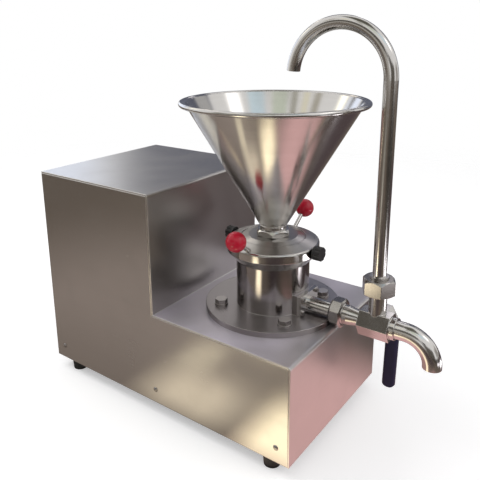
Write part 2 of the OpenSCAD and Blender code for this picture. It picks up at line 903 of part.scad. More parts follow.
// Gland where the supply cable would enter
module cable_gland() {
  color(black)
    translate([rear_x, gland_side, gland_z])
      lie_x()
        difference() {
          union() {
            translate([0, 0, -gland_hex_h])
              hex_bar(gland_af, gland_hex_h);
            translate([0, 0, -gland_out])
              cylinder(r = gland_r, h = gland_out);
            cylinder(r = gland_thread_r, h = sheet_t + gland_hex_h);
            translate([0, 0, sheet_t])
              hex_bar(gland_af, gland_hex_h);
          }
          translate([0, 0, -gland_out - cut])
            cylinder(r = gland_bore, h = 2 * gland_out + sheet_t);
        }
}

// Plate under the deck that carries the head, on four legs
module head_frame() {
  low_x = rear_x + tall_l + bend_r;
  high_x = front_x - sheet_t - tray_t - bend_r;
  half_w = inner_y - tray_t - bend_r;
  color(dark_steel)
    difference() {
      union() {
        translate([low_x, -half_w, deck_plate_z])
          cube([high_x - low_x, 2 * half_w, plate_t]);
        for (x = [low_x, high_x - leg_w])
          for (y = [-half_w, half_w - leg_w])
            translate([x, y, tray_top])
              cube([leg_w, leg_w, deck_plate_z - tray_top + cut]);
      }
      translate([mill_x, 0, deck_plate_z - cut])
        cylinder(r = carrier_hole_r, h = plate_t + 2 * cut);
      flange_holes(deck_plate_z - cut, plate_t + 2 * cut);
    }
}

// Frame of the two push buttons on the rear panel
module switch_bezel() {
  color(black)
    difference() {
      translate([rear_x - bezel_t, -switch_side - bezel_w / 2, switch_z - bezel_h / 2])
        cube([bezel_t, bezel_w, bezel_h]);
      for (z = button_zs)
        translate([rear_x - bezel_t - cut, -switch_side, z])
          lie_x()
            cylinder(r = button_r + button_gap, h = bezel_t + 2 * cut);
    }
}

// Contact block behind the push buttons
module switch_block() {
  color(grey_paint)
    difference() {
      translate([rear_x + sheet_t, -switch_side - bezel_w / 2, switch_z - bezel_h / 2])
        cube([block_depth, bezel_w, bezel_h]);
      for (z = button_zs)
        translate([rear_x, -switch_side, z])
          lie_x()
            cylinder(r = button_r + button_edge + button_gap, h = button_in + button_travel + cut);
    }
}

// A push button with its retaining edge
module push_button(z) {
  translate([rear_x, -switch_side, z])
    lie_x() {
      translate([0, 0, -bezel_t - button_out])
        cylinder(r = button_r, h = bezel_t + button_out + button_in);
      translate([0, 0, button_in - button_edge])
        cylinder(r = button_r + button_edge, h = button_edge);
    }
}

module start_button() {
  color(green)
    push_button(button_zs[0]);
}

module stop_button() {
  color(red)
    push_button(button_zs[1]);
}

// Plate on four legs that carries the motor
module motor_bracket() {
  color(dark_steel)
    difference() {
      translate([motor_x, 0, 0]) {
        translate([-bracket_w / 2, -bracket_w / 2, bracket_z])
          cube([bracket_w, bracket_w, plate_t]);
        for (x = [-bracket_w / 2, bracket_w / 2 - leg_w])
          for (y = [-bracket_w / 2, bracket_w / 2 - leg_w])
            translate([x, y, tray_top])
              cube([leg_w, leg_w, bracket_z - tray_top + cut]);
      }
      translate([motor_x, 0, bracket_z - cut]) {
        cylinder(r = winding_r, h = plate_t + 2 * cut);
        around(4, 45)
          translate([motor_bolt_pcd, 0, 0])
            cylinder(r = motor_bolt_r + hole_gap, h = plate_t + 2 * cut);
      }
    }
}

// Bolts and nuts of the motor flange
module motor_bolts() {
  grip = plate_t + motor_flange_t;
  color(bright_steel)
    translate([motor_x, 0, bracket_z])
      around(4, 45)
        translate([motor_bolt_pcd, 0, 0]) {
          translate([0, 0, -motor_head_h])
            hex_bar(motor_bolt_af, motor_head_h);
          translate([0, 0, -cut])
            cylinder(r = motor_bolt_r, h = grip + motor_head_h + 2 * cut);
          translate([0, 0, grip])
            hex_bar(motor_bolt_af, motor_head_h);
        }
}

// Finned motor frame with its flange and end walls
module motor_frame() {
  color(grey_paint)
    translate([motor_x, 0, motor_z])
      difference() {
        union() {
          cylinder(r = motor_flange_r, h = motor_flange_t);
          cylinder(r = motor_r, h = motor_flange_t + motor_l);
          around(fin_count)
            translate([motor_r - cut, -fin_t / 2, motor_flange_t + motor_wall])
              cube([fin_h + cut, fin_t, motor_l - 2 * motor_wall]);
        }
        translate([0, 0, motor_flange_t])
          cylinder(r = winding_r + fit, h = motor_l - motor_wall);
        translate([0, 0, -cut])
          cylinder(r = shaft_hole_r, h = motor_l + motor_flange_t + 2 * cut);
        around(4, 45)
          translate([motor_bolt_pcd, 0, -cut])
            cylinder(r = motor_bolt_r + hole_gap, h = motor_flange_t + 2 * cut);
      }
}

// Stator core and coil ends of the motor
module motor_winding() {
  coil = (motor_l - core_l - 2 * motor_wall) / 3;
  color(copper)
    translate([motor_x, 0, winding_mid])
      rotate_extrude()
        polygon([[core_r + air_gap, -core_l / 2], [core_r + coil / 2, -core_l / 2],
          [core_r + coil / 2, -core_l / 2 - coil], [winding_r - coil / 4, -core_l / 2 - coil],
          [winding_r, -core_l / 2], [winding_r, core_l / 2],
          [winding_r - coil / 4, core_l / 2 + coil], [core_r + coil / 2, core_l / 2 + coil],
          [core_r + coil / 2, core_l / 2], [core_r + air_gap, core_l / 2]]);
}

// Motor shaft with its rotor core
module motor_rotor() {
  color(bright_steel)
    translate([motor_x, 0, 0]) {
      translate([0, 0, pulley_z - cut])
        cylinder(r = motor_shaft_r, h = motor_top + fan_h + 2 * motor_wall - pulley_z);
      translate([0, 0, winding_mid - core_l / 2])
        cylinder(r = core_r, h = core_l);
    }
}

// Cooling fan on the upper shaft end
module motor_fan() {
  hub_r = motor_shaft_r + motor_wall / 2;
  color(white)
    translate([motor_x, 0, motor_top + motor_wall / 2])
      difference() {
        union() {
          cylinder(r = hub_r, h = fan_h);
          cylinder(r = fan_r, h = fin_t);
          around(fan_blades, fan_blades)
            translate([hub_r - cut, -fin_t / 2, cut])
              cube([fan_r - hub_r, fin_t, fan_h - 2 * cut]);
        }
        translate([0, 0, -cut])
          cylinder(r = motor_shaft_r + fit, h = fan_h + 2 * cut);
      }
}

// Slotted cover over the motor's fan
module fan_cover() {
  lap = motor_wall - cut;
  color(grey_paint)
    translate([motor_x, 0, motor_top - lap])
      difference() {
        cylinder(r = fan_cover_r, h = fan_cover_h + lap);
        translate([0, 0, lap])
          cylinder(r = fan_cover_r - fan_cover_t, h = fan_cover_h - fan_cover_t);
        translate([0, 0, -cut])
          cylinder(r = motor_r + fit, h = lap + 2 * cut);
        around(fan_blades * 2)
          translate([motor_wall, -fin_t, fan_cover_h + lap - fan_cover_t - cut])
            cube([fan_r - motor_wall, 2 * fin_t, fan_cover_t + 2 * cut]);
      }
}

// Terminal box on the motor's side
module terminal_box() {
  color(grey_paint)
    difference() {
      translate([motor_x - term_w / 2, motor_r, winding_mid - term_h / 2])
        cube([term_w, term_d + fin_h, term_h]);
      translate([motor_x, 0, winding_mid - term_h])
        cylinder(r = fin_r + fit, h = 2 * term_h);
    }
}

// Outline of a belt groove, its outer edge on the axis of the drawing
module groove(depth) {
  slope = (belt_w - belt_low_w) / (2 * belt_h);
  low = belt_low_w / 2 + belt_gap - (depth - belt_h) * slope;
  polygon([[cut, belt_w / 2 + belt_gap + cut * slope], [cut, -belt_w / 2 - belt_gap - cut * slope],
    [-depth, -low], [-depth, low]]);
}

// Pulley with its belt grooves
module pulley(r, bore) {
  rotate_extrude()
    difference() {
      translate([bore + fit, 0])
        square([r - bore - fit, pulley_h]);
      for (i = [0 : belt_count - 1])
        translate([r, belt_pitch * (i + 0.5)])
          groove(belt_h + groove_gap);
    }
}

module drive_pulley() {
  color(dark_steel)
    translate([motor_x, 0, pulley_z])
      pulley(drive_r, motor_shaft_r);
}

module driven_pulley() {
  color(dark_steel)
    translate([mill_x, 0, pulley_z])
      pulley(driven_r, lower_bore);
}

// Outline of a belt drawn in by a margin, its outer edge on the axis of the drawing
module belt_section(margin) {
  half = belt_w / 2 - margin;
  low = belt_low_w / 2 - margin;
  polygon([[-margin, half], [-margin, -half], [margin - belt_h, -low], [margin - belt_h, low]]);
}

// V-belts from the motor to the spindle
module drive_belts() {
  color(black)
    for (z = belt_zs) {
      translate([motor_x, 0, z])
        rotate([0, 0, 90 - belt_tilt])
          rotate_extrude(angle = 180 + 2 * belt_tilt)
            translate([drive_r, 0])
              belt_section(0);
      translate([mill_x, 0, z])
        rotate([0, 0, belt_tilt - 90])
          rotate_extrude(angle = 180 - 2 * belt_tilt)
            translate([driven_r, 0])
              belt_section(0);
      for (side = [0, 1])
        mirror([0, side, 0])
          translate([motor_x + drive_r * sin(belt_tilt), drive_r * cos(belt_tilt), z])
            rotate([0, 0, -belt_tilt])
              translate([-seam, 0, 0])
                rotate([90, 0, 90])
                  linear_extrude(belt_run + 2 * seam)
                    belt_section(fit);
    }
}

// Bearing housing under the mill's flange
module bearing_housing() {
  low_z = deck_z - carrier_l;
  color(dark_steel)
    translate([mill_x, 0, 0])
      difference() {
        translate([0, 0, low_z])
          cylinder(r = carrier_r, h = carrier_l);
        translate([0, 0, low_z - cut])
          cylinder(r = carrier_bore, h = carrier_l + 2 * cut);
        translate([0, 0, upper_top - upper_h])
          cylinder(r = upper_r + fit, h = upper_h + upper_depth + cut);
        translate([0, 0, low_z - cut])
          cylinder(r = lower_r + fit, h = lower_top - low_z + cut);
      }
}

// Outer ring of a bearing, drawn from its top
module outer_race(r, pcd, ball, h) {
  rotate_extrude()
    difference() {
      translate([pcd + (r - pcd) * ring_share, -h])
        square([(r - pcd) * (1 - ring_share), h]);
      translate([pcd, -h / 2])
        circle(ball + race_gap);
    }
}

// Inner ring of a bearing, drawn from its top
module inner_race(bore, pcd, ball, h) {
  rotate_extrude()
    difference() {
      translate([bore + fit, -h])
        square([(pcd - bore) * (1 - ring_share) - fit, h]);
      translate([pcd, -h / 2])
        circle(ball + race_gap);
    }
}

module bearing_outer_rings() {
  color(bright_steel) {
    translate([mill_x, 0, upper_top])
      outer_race(upper_r, upper_pcd, upper_ball, upper_h);
    translate([mill_x, 0, lower_top])
      outer_race(lower_r, lower_pcd, lower_ball, lower_h);
  }
}

module bearing_inner_rings() {
  color(bright_steel) {
    translate([mill_x, 0, upper_top])
      inner_race(upper_bore, upper_pcd, upper_ball, upper_h);
    translate([mill_x, 0, lower_top])
      inner_race(lower_bore, lower_pcd, lower_ball, lower_h);
  }
}

module bearing_balls() {
  color(bright_steel)
    translate([mill_x, 0, 0])
      around(ball_count) {
        translate([upper_pcd, 0, upper_top - upper_h / 2])
          sphere(upper_ball);
        translate([lower_pcd, 0, lower_top - lower_h / 2])
          sphere(lower_ball);
      }
}

// Stepped spindle from the driven pulley to the feed nut
module spindle() {
  color(bright_steel)
    translate([mill_x, 0, 0])
      rotate_extrude()
        polygon([[0, pulley_z - cut], [lower_bore, pulley_z - cut], [lower_bore, lower_top],
          [upper_bore, lower_top], [upper_bore, upper_top], [seal_shaft_r, upper_top],
          [seal_shaft_r, rotor_z], [rotor_shaft_r, rotor_z], [rotor_shaft_r, rotor_top],
          [top_thread_r, rotor_top], [top_thread_r, rotor_top + top_thread_l],
          [0, rotor_top + top_thread_l]]);
}

// Fixed ring of the shaft seal
module seal_seat() {
  color(white)
    translate([mill_x, 0, floor_z - seat_depth])
      difference() {
        cylinder(r = seat_r, h = seat_depth + seat_up);
        translate([0, 0, -cut])
          cylinder(r = seal_shaft_r + shaft_gap, h = seat_depth + seat_up + 2 * cut);
      }
}

// Turning ring of the shaft seal, under the rotor
module seal_ring() {
  color(dark_steel)
    translate([mill_x, 0, seal_top + seal_gap])
      difference() {
        cylinder(r = seal_r, h = rotor_z - seal_top - seal_gap);
        translate([0, 0, -cut])
          cylinder(r = seal_shaft_r + fit, h = rotor_z - seal_top + cut);
      }
}

// Holes for the block screws, along +X from the boss
module block_holes(x, l) {
  for (y = block_screw_ys)
    for (z = block_screw_zs)
      translate([x, y, z])
        lie_x()
          cylinder(r = block_screw_r + hole_gap / 2, h = l);
}

// Round housing with flange, outlet boss and grinding chamber
module mill_housing() {
  color(steel)
    difference() {
      union() {
        translate([mill_x, 0, deck_z]) {
          cylinder(r = flange_r, h = flange_t);
          cylinder(r = housing_r, h = thread_rise);
          cylinder(r = thread_r, h = housing_rise);
        }
        translate([mill_x, -boss_w / 2, deck_z])
          cube([boss_out, boss_w, boss_rise]);
      }
      translate([mill_x, 0, floor_z])
        cylinder(r = chamber_r, h = housing_rise);
      translate([mill_x, 0, deck_z - cut])
        cylinder(r = seal_shaft_r + 2 * shaft_gap, h = floor_rise + 2 * cut);
      translate([mill_x, 0, floor_z - seat_depth])
        cylinder(r = seat_r + fit, h = seat_depth + cut);
      translate([mill_x, 0, outlet_z])
        lie_x()
          cylinder(r = bore_r, h = boss_out + cut);
      flange_holes(deck_z - cut, flange_t + 2 * cut);
      block_holes(pipe_x - block_screw_l - cut, block_screw_l + 2 * cut);
    }
}

// Bolts, washers and nuts of the housing's flange
module flange_bolts() {
  grip = flange_t + sheet_t + plate_t;
  color(bright_steel)
    translate([mill_x, 0, deck_z + flange_t])
      around(4, 45)
        translate([flange_bolt_pcd, 0, 0]) {
          cylinder(r = washer_r, h = washer_t);
          translate([0, 0, washer_t])
            hex_bar(flange_bolt_af, flange_head_h);
          translate([0, 0, -grip - flange_head_h - cut])
            cylinder(r = flange_bolt_r, h = grip + flange_head_h + 2 * cut);
          translate([0, 0, -grip - flange_head_h])
            hex_bar(flange_bolt_af, flange_head_h);
        }
}

// Slanted grooves along the grinding cone
module tooth_cuts(count, slant) {
  mid_r = (rotor_r + rotor_top_r) / 2;
  around(count)
    translate([mid_r, 0, rotor_h / 2])
      rotate([0, -cone_angle, 0])
        rotate([slant, 0, 0])
          cube([2 * tooth_depth, tooth_w, 2 * rotor_h], center = true);
}

// Conical toothed rotor with scraper vanes under it
module rotor() {
  color(bright_steel)
    difference() {
      translate([mill_x, 0, 0]) {
        translate([0, 0, rotor_z])
          cylinder(r = rotor_r, h = rotor_base_h);
        difference() {
          translate([0, 0, cone_z])
            cylinder(r1 = rotor_r, r2 = rotor_top_r, h = rotor_h);
          translate([0, 0, cone_z])
            tooth_cuts(rotor_teeth, tooth_slant);
        }
        around(vane_count)
          translate([seat_r + cut, -vane_t / 2, rotor_z - vane_h])
            cube([vane_r - seat_r - cut, vane_t, vane_h + cut]);
      }
      translate([mill_x, 0, rotor_z - cut])
        cylinder(r = rotor_shaft_r + fit, h = rotor_h + rotor_base_h + 2 * cut);
    }
}

// Cone-nosed nut that holds the rotor and feeds it
module feed_nut() {
  color(bright_steel)
    translate([mill_x, 0, rotor_top])
      rotate_extrude()
        polygon([[top_thread_r + fit, 0], [feed_nut_r, 0], [feed_nut_r, feed_nut_h / 2],
          [top_thread_r, feed_nut_h], [0, feed_nut_h], [0, top_thread_l + fit],
          [top_thread_r + fit, top_thread_l + fit]]);
}

// Toothed ring round the rotor, hung under the cover disc
module stator() {
  wide_r = rotor_r + radial_gap;
  top_r = rotor_top_r + radial_gap;
  start_z = cone_z + seam;
  start_r = wide_r - seam * cone_slope;
  color(steel)
    translate([mill_x, 0, 0])
      difference() {
        rotate_extrude()
          polygon([[start_r, start_z], [stator_r, start_z], [stator_r, cover_z],
            [throat_r, cover_z], [top_r, rotor_top]]);
        intersection() {
          translate([0, 0, cone_z])
            tooth_cuts(stator_teeth, -tooth_slant);
          translate([0, 0, cone_z])
            cylinder(r1 = wide_r + tooth_depth, r2 = top_r + tooth_depth, h = rotor_h);
        }
      }
}

// Disc that closes the head and carries the hopper
module cover_disc() {
  color(steel)
    translate([mill_x, 0, 0])
      rotate_extrude()
        polygon([[throat_r, cover_z], [cover_r, cover_z], [cover_r, cover_z + cover_edge],
          [cover_flat_r, cover_top], [neck_r + fit, cover_top], [neck_r + fit, neck_z],
          [throat_r, neck_z]]);
}

// A lever rod's place on the ring: the child's axis rises out of the ring
module at_rods() {
  for (side = [-90, 90])
    translate([mill_x, 0, 0])
      rotate([0, 0, side])
        translate([rod_out, 0, rod_z])
          rotate([0, 90 - rod_slope, 0])
            children();
}

// A lock stud's place on the ring: the child's axis points outwards
module at_lock(side) {
  translate([mill_x, 0, lock_z])
    rotate([0, 0, side])
      lie_x()
        children();
}

// Threaded ring that sets the grinding gap
module adjusting_ring() {
  bore = thread_r + thread_gap;
  color(steel)
    difference() {
      translate([mill_x, 0, 0])
        rotate_extrude() {
          polygon([[bore, ring_z], [ring_low_r, ring_z], [ring_r, rim_z],
            [ring_r, rim_top - ring_round], [dome_r, rim_top - ring_round], [dome_r, rim_top],
            [cover_bore_r, ring_top], [cover_bore_r, cover_z], [stator_r + stator_gap, cover_z],
            [stator_r + stator_gap, lip_z], [bore, lip_z]]);
          translate([dome_r, rim_top - ring_round])
            circle(ring_round);
        }
      at_rods()
        translate([0, 0, -rod_depth])
          cylinder(r = rod_r + fit, h = rod_depth + rod_l);
      for (side = [0, 180])
        at_lock(side)
          translate([0, 0, thread_r])
            cylinder(r = stud_r + stud_gap, h = ring_r);
    }
}

module lever_rods() {
  color(bright_steel)
    at_rods()
      translate([0, 0, -rod_depth])
        cylinder(r = rod_r, h = rod_depth + rod_l);
}

module lever_balls() {
  color(red)
    at_rods()
      difference() {
        translate([0, 0, rod_l])
          sphere(lever_ball_r);
        translate([0, 0, -rod_depth])
          cylinder(r = rod_r + fit, h = rod_depth + rod_l);
      }
}

// Steel stud of a lock knob
module lock_stud(side) {
  color(bright_steel)
    at_lock(side)
      translate([0, 0, stud_in])
        cylinder(r = stud_r, h = knob_in + knob_l / 2 - stud_in);
}

// Fluted plastic knob of a lock stud
module lock_knob(side) {
  color(black)
    at_lock(side)
      translate([0, 0, knob_in])
        difference() {
          cylinder(r = knob_r, h = knob_l);
          translate([0, 0, -cut])
            cylinder(r = stud_r + fit, h = knob_l / 2 + cut + fit);
          around(knob_flutes)
            translate([knob_r + flute_r / 2, 0, knob_l / 4])
              cylinder(r = flute_r, h = knob_l);
        }
}

module front_lock_stud() {
  lock_stud(0);
}

module front_lock_knob() {
  lock_knob(0);
}

module rear_lock_stud() {
  lock_stud(180);
}

module rear_lock_knob() {
  lock_knob(180);
}

// Hexagonal nut that clamps the hopper's neck
module hopper_nut() {
  color(bright_steel)
    translate([mill_x, 0, cover_top])
      difference() {
        union_body(hopper_nut_af, hopper_nut_h, hex, 0);
        translate([0, 0, -cut])
          cylinder(r = neck_r + fit, h = hopper_nut_h + 2 * cut);
      }
}

// Feed hopper with its rolled rim
module hopper() {
  color(bright_steel)
    translate([mill_x, 0, 0])
      rotate_extrude() {
        polygon([[neck_r, neck_z], [neck_r, cone_foot], [cone_r, hopper_top],
          [cone_r - flare_wall, hopper_top], [neck_r - hopper_wall, cone_foot + hopper_wall / 2],
          [neck_r - hopper_wall, neck_z]]);
        translate([cone_r - flare_wall, hopper_top - hopper_wall])
          square([flare_wall + rim_lip, hopper_wall]);
        translate([cone_r + rim_lip, hopper_top - bead_r / 2])
          circle(bead_r);
      }
}

// Outlet pipe with its square flange and union collar
module outlet_pipe() {
  color(bright_steel)
    difference() {
      union() {
        translate([mill_x + boss_out, -boss_w / 2, boss_z])
          cube([pipe_flange_t, boss_w, boss_h]);
        translate([mill_x + boss_out, 0, outlet_z])
          lie_x()
            cylinder(r = pipe_r, h = collar_x + collar_t - mill_x - boss_out);
        translate([collar_x, 0, outlet_z])
          lie_x()
            cylinder(r = collar_r, h = collar_t);
      }
      translate([mill_x + boss_out - cut, 0, outlet_z])
        lie_x()
          cylinder(r = bore_r, h = valve_out);
      block_holes(mill_x + boss_out - cut, pipe_flange_t + 2 * cut);
    }
}

module block_screws() {
  color(dark_steel)
    for (y = block_screw_ys)
      for (z = block_screw_zs)
        translate([pipe_x, y, z])
          lie_x()
            difference() {
              union() {
                translate([0, 0, -block_screw_l])
                  cylinder(r = block_screw_r, h = block_screw_l + cut);
                cylinder(r = block_head_r, h = block_head_h);
              }
              translate([0, 0, block_head_h / 2])
                hex_bar(block_head_r, block_head_h);
            }
}

// Many-sided nut with chamfered ends, from the origin along +Z
module union_body(af, l, sides, turn) {
  wide = af / cos(180 / sides) / 2 + cut;
  flat = wide - cut - nut_chamfer;
  slope = nut_chamfer + cut;
  intersection() {
    rotate([0, 0, turn])
      cylinder(r = wide - cut, h = l, $fn = sides);
    union() {
      cylinder(r1 = flat, r2 = wide, h = slope / 2);
      translate([0, 0, slope / 2])
        cylinder(r = wide, h = l - slope / 2 - slope);
      translate([0, 0, l - slope])
        cylinder(r1 = wide, r2 = flat, h = slope);
    }
  }
}

// Nut that draws the outlet pipe to the valve
module union_nut() {
  color(bright_steel)
    translate([union_x, 0, outlet_z])
      lie_x()
        difference() {
          translate([0, 0, union_l])
            mirror([0, 0, 1])
              union_body(union_af, union_l, oct, 180 / oct);
          translate([0, 0, -cut])
            cylinder(r = pipe_r + union_gap, h = union_l);
          translate([0, 0, union_lip])
            cylinder(r = union_thread_r + union_gap, h = union_l);
        }
}

// Valve body: threaded tail, hexagon, end cap, stem boss and riser stub
module valve_body() {
  color(bright_steel)
    translate([valve_x, 0, outlet_z])
      difference() {
        union() {
          lie_x() {
            translate([0, 0, tail_x - valve_x])
              cylinder(r = union_thread_r, h = union_end - tail_x);
            translate([0, 0, union_end - cut - valve_x])
              cylinder(r = tail_hub_r, h = tail_hub_l + cut);
            translate([0, 0, tail_end - valve_x])
              cylinder(r1 = tail_hub_r, r2 = tail_r, h = valve_x - valve_rear - tail_end);
            translate([0, 0, -valve_rear])
              rotate([0, 0, 180 / hex])
                hex_bar(valve_af, valve_rear + valve_front);
            cylinder(r = cap_r, h = valve_front + cap_l);
          }
          lie_y() {
            hex_bar(bonnet_af, bonnet_out);
            cylinder(r = stem_boss_r, h = stem_boss_out);
          }
          cylinder(r = stub_r, h = riser_rise + cut);
          translate([0, 0, riser_rise])
            cylinder(r = riser_thread_r, h = riser_thread_l);
        }
        translate([tail_x - valve_x - cut, 0, 0])
          lie_x()
            cylinder(r = bore_r, h = spout_x - tail_x + 2 * cut);
        translate([-ball_half, 0, 0])
          lie_x()
            cylinder(r = ball_bore, h = 2 * ball_half);
        cylinder(r = bore_r, h = riser_rise + riser_thread_l + cut);
        lie_y()
          cylinder(r = stem_r + stem_gap, h = stem_boss_out + cut);
      }
}

// Ball with a straight way and a side way to the riser
module valve_ball() {
  color(bright_steel)
    translate([valve_x, 0, outlet_z])
      difference() {
        sphere(ball_r);
        translate([-ball_r - cut, 0, 0])
          lie_x()
            cylinder(r = bore_r, h = 2 * (ball_r + cut));
        cylinder(r = bore_r, h = ball_r + cut);
        translate([0, ball_r - stem_in, 0])
          lie_y()
            cylinder(r = stem_r + fit, h = ball_r);
      }
}

// Two seats that hold the ball
module valve_seats() {
  color(white)
    translate([valve_x, 0, outlet_z])
      for (side = [0, 180])
        rotate([0, 0, side])
          lie_x()
            rotate_extrude()
              difference() {
                translate([seat_bore, seat_bore])
                  square([ball_bore - fit - seat_bore, ball_half - seat_bore]);
                circle(ball_r + ball_gap);
              }
}

// Stem from the ball to the lever
module valve_stem() {
  color(bright_steel)
    translate([valve_x, ball_r - stem_in, outlet_z])
      lie_y()
        cylinder(r = stem_r, h = stem_end - ball_r + stem_in);
}

// The lever's place: the child hangs down behind the valve
module at_lever() {
  translate([valve_x, lever_y, outlet_z])
    rotate([0, -lever_lean, 0])
      children();
}

// Flat lever with its hub
module valve_lever() {
  color(steel)
    at_lever()
      difference() {
        union() {
          lie_y()
            cylinder(r = lever_hub_r, h = lever_t);
          translate([-lever_w / 2, 0, 0])
            rotate([90, 0, 90])
              linear_extrude(lever_w)
                polygon([[0, 0], [lever_t, 0], [lever_t, -crank_drop], [grip_y + lever_t, grip_top],
                  [grip_y + lever_t, -lever_l], [grip_y, -lever_l], [grip_y, grip_top],
                  [0, -crank_drop]]);
        }
        translate([0, -cut, 0])
          lie_y()
            cylinder(r = stem_r + fit, h = lever_t + 2 * cut);
      }
}

// Plastic sleeve on the lever, rounded at its lower end
module lever_sleeve() {
  round_r = sleeve_t / 2;
  sleeve_y = grip_y + lever_t / 2 - sleeve_t / 2;
  low_z = -lever_l - sleeve_t / 2;
  color(navy)
    at_lever()
      difference() {
        intersection() {
          union() {
            translate([round_r - sleeve_w / 2, sleeve_y, low_z])
              cube([sleeve_w - 2 * round_r, sleeve_t, sleeve_l]);
            for (x = [round_r - sleeve_w / 2, sleeve_w / 2 - round_r])
              translate([x, sleeve_y + round_r, low_z])
                cylinder(r = round_r, h = sleeve_l);
          }
          union() {
            translate([0, sleeve_y - cut, low_z + sleeve_end_r])
              lie_y()
                cylinder(r = sleeve_end_r, h = sleeve_t + 2 * cut);
            translate([-sleeve_w, sleeve_y - cut, low_z + sleeve_end_r])
              cube([2 * sleeve_w, sleeve_t + 2 * cut, sleeve_l]);
          }
        }
        translate([-lever_w / 2 - fit, grip_y - fit, -lever_l - fit])
          cube([lever_w + 2 * fit, lever_t + 2 * fit, lever_l]);
      }
}

// Nut on the stem, outside the lever
module lever_nut() {
  color(bright_steel)
    translate([valve_x, lever_y + lever_t, outlet_z])
      lie_y()
        difference() {
          hex_bar(lever_nut_af, lever_nut_h);
          translate([0, 0, -cut])
            cylinder(r = stem_r + fit, h = lever_nut_h + 2 * cut);
        }
}

// A pipe bend in the side view, from level ahead to upright and on
module pipe_bend(bend, r, sweep) {
  rotate([90, 0, 0])
    rotate_extrude(angle = sweep)
      translate([bend, 0])
        difference() {
          circle(r);
          circle(r - pipe_wall);
        }
}

// A straight pipe from the origin along +Z
module pipe(r, l) {
  linear_extrude(l)
    difference() {
      circle(r);
      circle(r - pipe_wall);
    }
}

// Outlet spout that turns down
module spout() {
  color(bright_steel) {
    translate([spout_x, 0, outlet_z])
      lie_x()
        pipe(spout_r, spout_lead);
    translate([spout_x + spout_lead, 0, outlet_z - spout_bend])
      pipe_bend(spout_bend, spout_r, 90);
    translate([spout_x + spout_lead + spout_bend, 0, outlet_z - spout_bend - spout_end])
      pipe(spout_r, spout_end);
  }
}

// Nut that holds the return pipe's collar
module riser_nut() {
  depth = return_foot + collar_t + union_gap - riser_nut_z;
  color(bright_steel)
    translate([valve_x, 0, riser_nut_z])
      difference() {
        union_body(riser_nut_af, riser_nut_l, hex, 0);
        translate([0, 0, -cut])
          cylinder(r = riser_open_r, h = riser_nut_l + 2 * cut);
        translate([0, 0, -cut])
          cylinder(r = riser_thread_r + union_gap, h = depth + cut);
      }
}

// Return pipe that bends over the hopper, with its union collar and ferrule
module gooseneck() {
  color(bright_steel) {
    translate([valve_x, 0, return_foot]) {
      pipe(return_r, return_z - return_foot);
      difference() {
        union() {
          cylinder(r = riser_collar_r, h = collar_t);
          cylinder(r = ferrule_r, h = riser_nut_z + riser_nut_l + ferrule_out - return_foot);
        }
        translate([0, 0, -cut])
          cylinder(r = return_r - pipe_wall / 2, h = return_z);
      }
    }
    translate([valve_x - return_bend, 0, return_z])
      pipe_bend(return_bend, return_r, return_sweep);
  }
}

base_tray();
feet();
foot_bolts();
wrap_cover();
near_panel();
far_panel();
rear_panel();
panel_screws();
cable_gland();
head_frame();
switch_bezel();
switch_block();
start_button();
stop_button();
motor_bracket();
motor_bolts();
motor_frame();
motor_winding();
motor_rotor();
motor_fan();
fan_cover();
terminal_box();
drive_pulley();
driven_pulley();
drive_belts();
bearing_housing();
bearing_outer_rings();
bearing_inner_rings();
bearing_balls();
spindle();
seal_seat();
seal_ring();
mill_housing();
flange_bolts();
rotor();
feed_nut();
stator();
cover_disc();
adjusting_ring();
lever_rods();
lever_balls();
front_lock_stud();
front_lock_knob();
rear_lock_stud();
rear_lock_knob();
hopper_nut();
hopper();
outlet_pipe();
block_screws();
union_nut();
valve_body();
valve_ball();
valve_seats();
valve_stem();
valve_lever();
lever_sleeve();
lever_nut();
spout();
riser_nut();
gooseneck();
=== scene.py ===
"""Dresses the colloid mill: brushed cabinet, turned head, polished hopper and pipework."""
import json
import math

import bpy
from mathutils import Matrix, Vector

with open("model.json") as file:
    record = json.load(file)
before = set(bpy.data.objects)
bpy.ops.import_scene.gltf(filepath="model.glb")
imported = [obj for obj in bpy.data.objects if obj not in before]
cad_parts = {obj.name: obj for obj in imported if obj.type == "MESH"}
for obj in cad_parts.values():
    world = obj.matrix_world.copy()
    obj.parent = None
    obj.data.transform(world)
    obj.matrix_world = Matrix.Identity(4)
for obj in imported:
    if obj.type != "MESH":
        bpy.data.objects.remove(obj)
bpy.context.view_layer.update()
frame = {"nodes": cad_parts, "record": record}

# Upright axes that the lathe lines run round, in metres.
MILL_AXIS = (0.0625, 0.0, 0.0)
VALVE_AXIS = (0.2265, 0.0, 0.0)
MOTOR_AXIS = (-0.1765, 0.0, 0.0)

# The busy middle of a noise, which is spread over nought to one.
NOISE_LOW, NOISE_HIGH = 0.3, 0.7

# Sockets of a Mix node that blends colours.
COLOUR_A, COLOUR_B, COLOUR_OUT = 6, 7, 2


# Node building

def add(tree, kind, inputs=None, **settings):
    """Adds one shader node, sets it up and fills or links its inputs."""
    node = tree.nodes.new(kind)
    for key, value in settings.items():
        setattr(node, key, value)
    for key, value in (inputs or {}).items():
        if isinstance(value, bpy.types.NodeSocket):
            tree.links.new(value, node.inputs[key])
        else:
            node.inputs[key].default_value = value
    return node


def maths(tree, operation, first, second):
    """One operation on two values."""
    return add(tree, "ShaderNodeMath", {0: first, 1: second}, operation=operation).outputs[0]


def scale_and_add(tree, value, factor, added):
    """Value times factor, plus what is added."""
    return add(tree, "ShaderNodeMath", {0: value, 1: factor, 2: added},
               operation="MULTIPLY_ADD").outputs[0]


def spread(tree, value, low, high, to_low=0.0, to_high=1.0):
    """Maps a value from one range to another, clamped."""
    return add(tree, "ShaderNodeMapRange", {
        "Value": value, "From Min": low, "From Max": high, "To Min": to_low, "To Max": to_high,
    }).outputs["Result"]


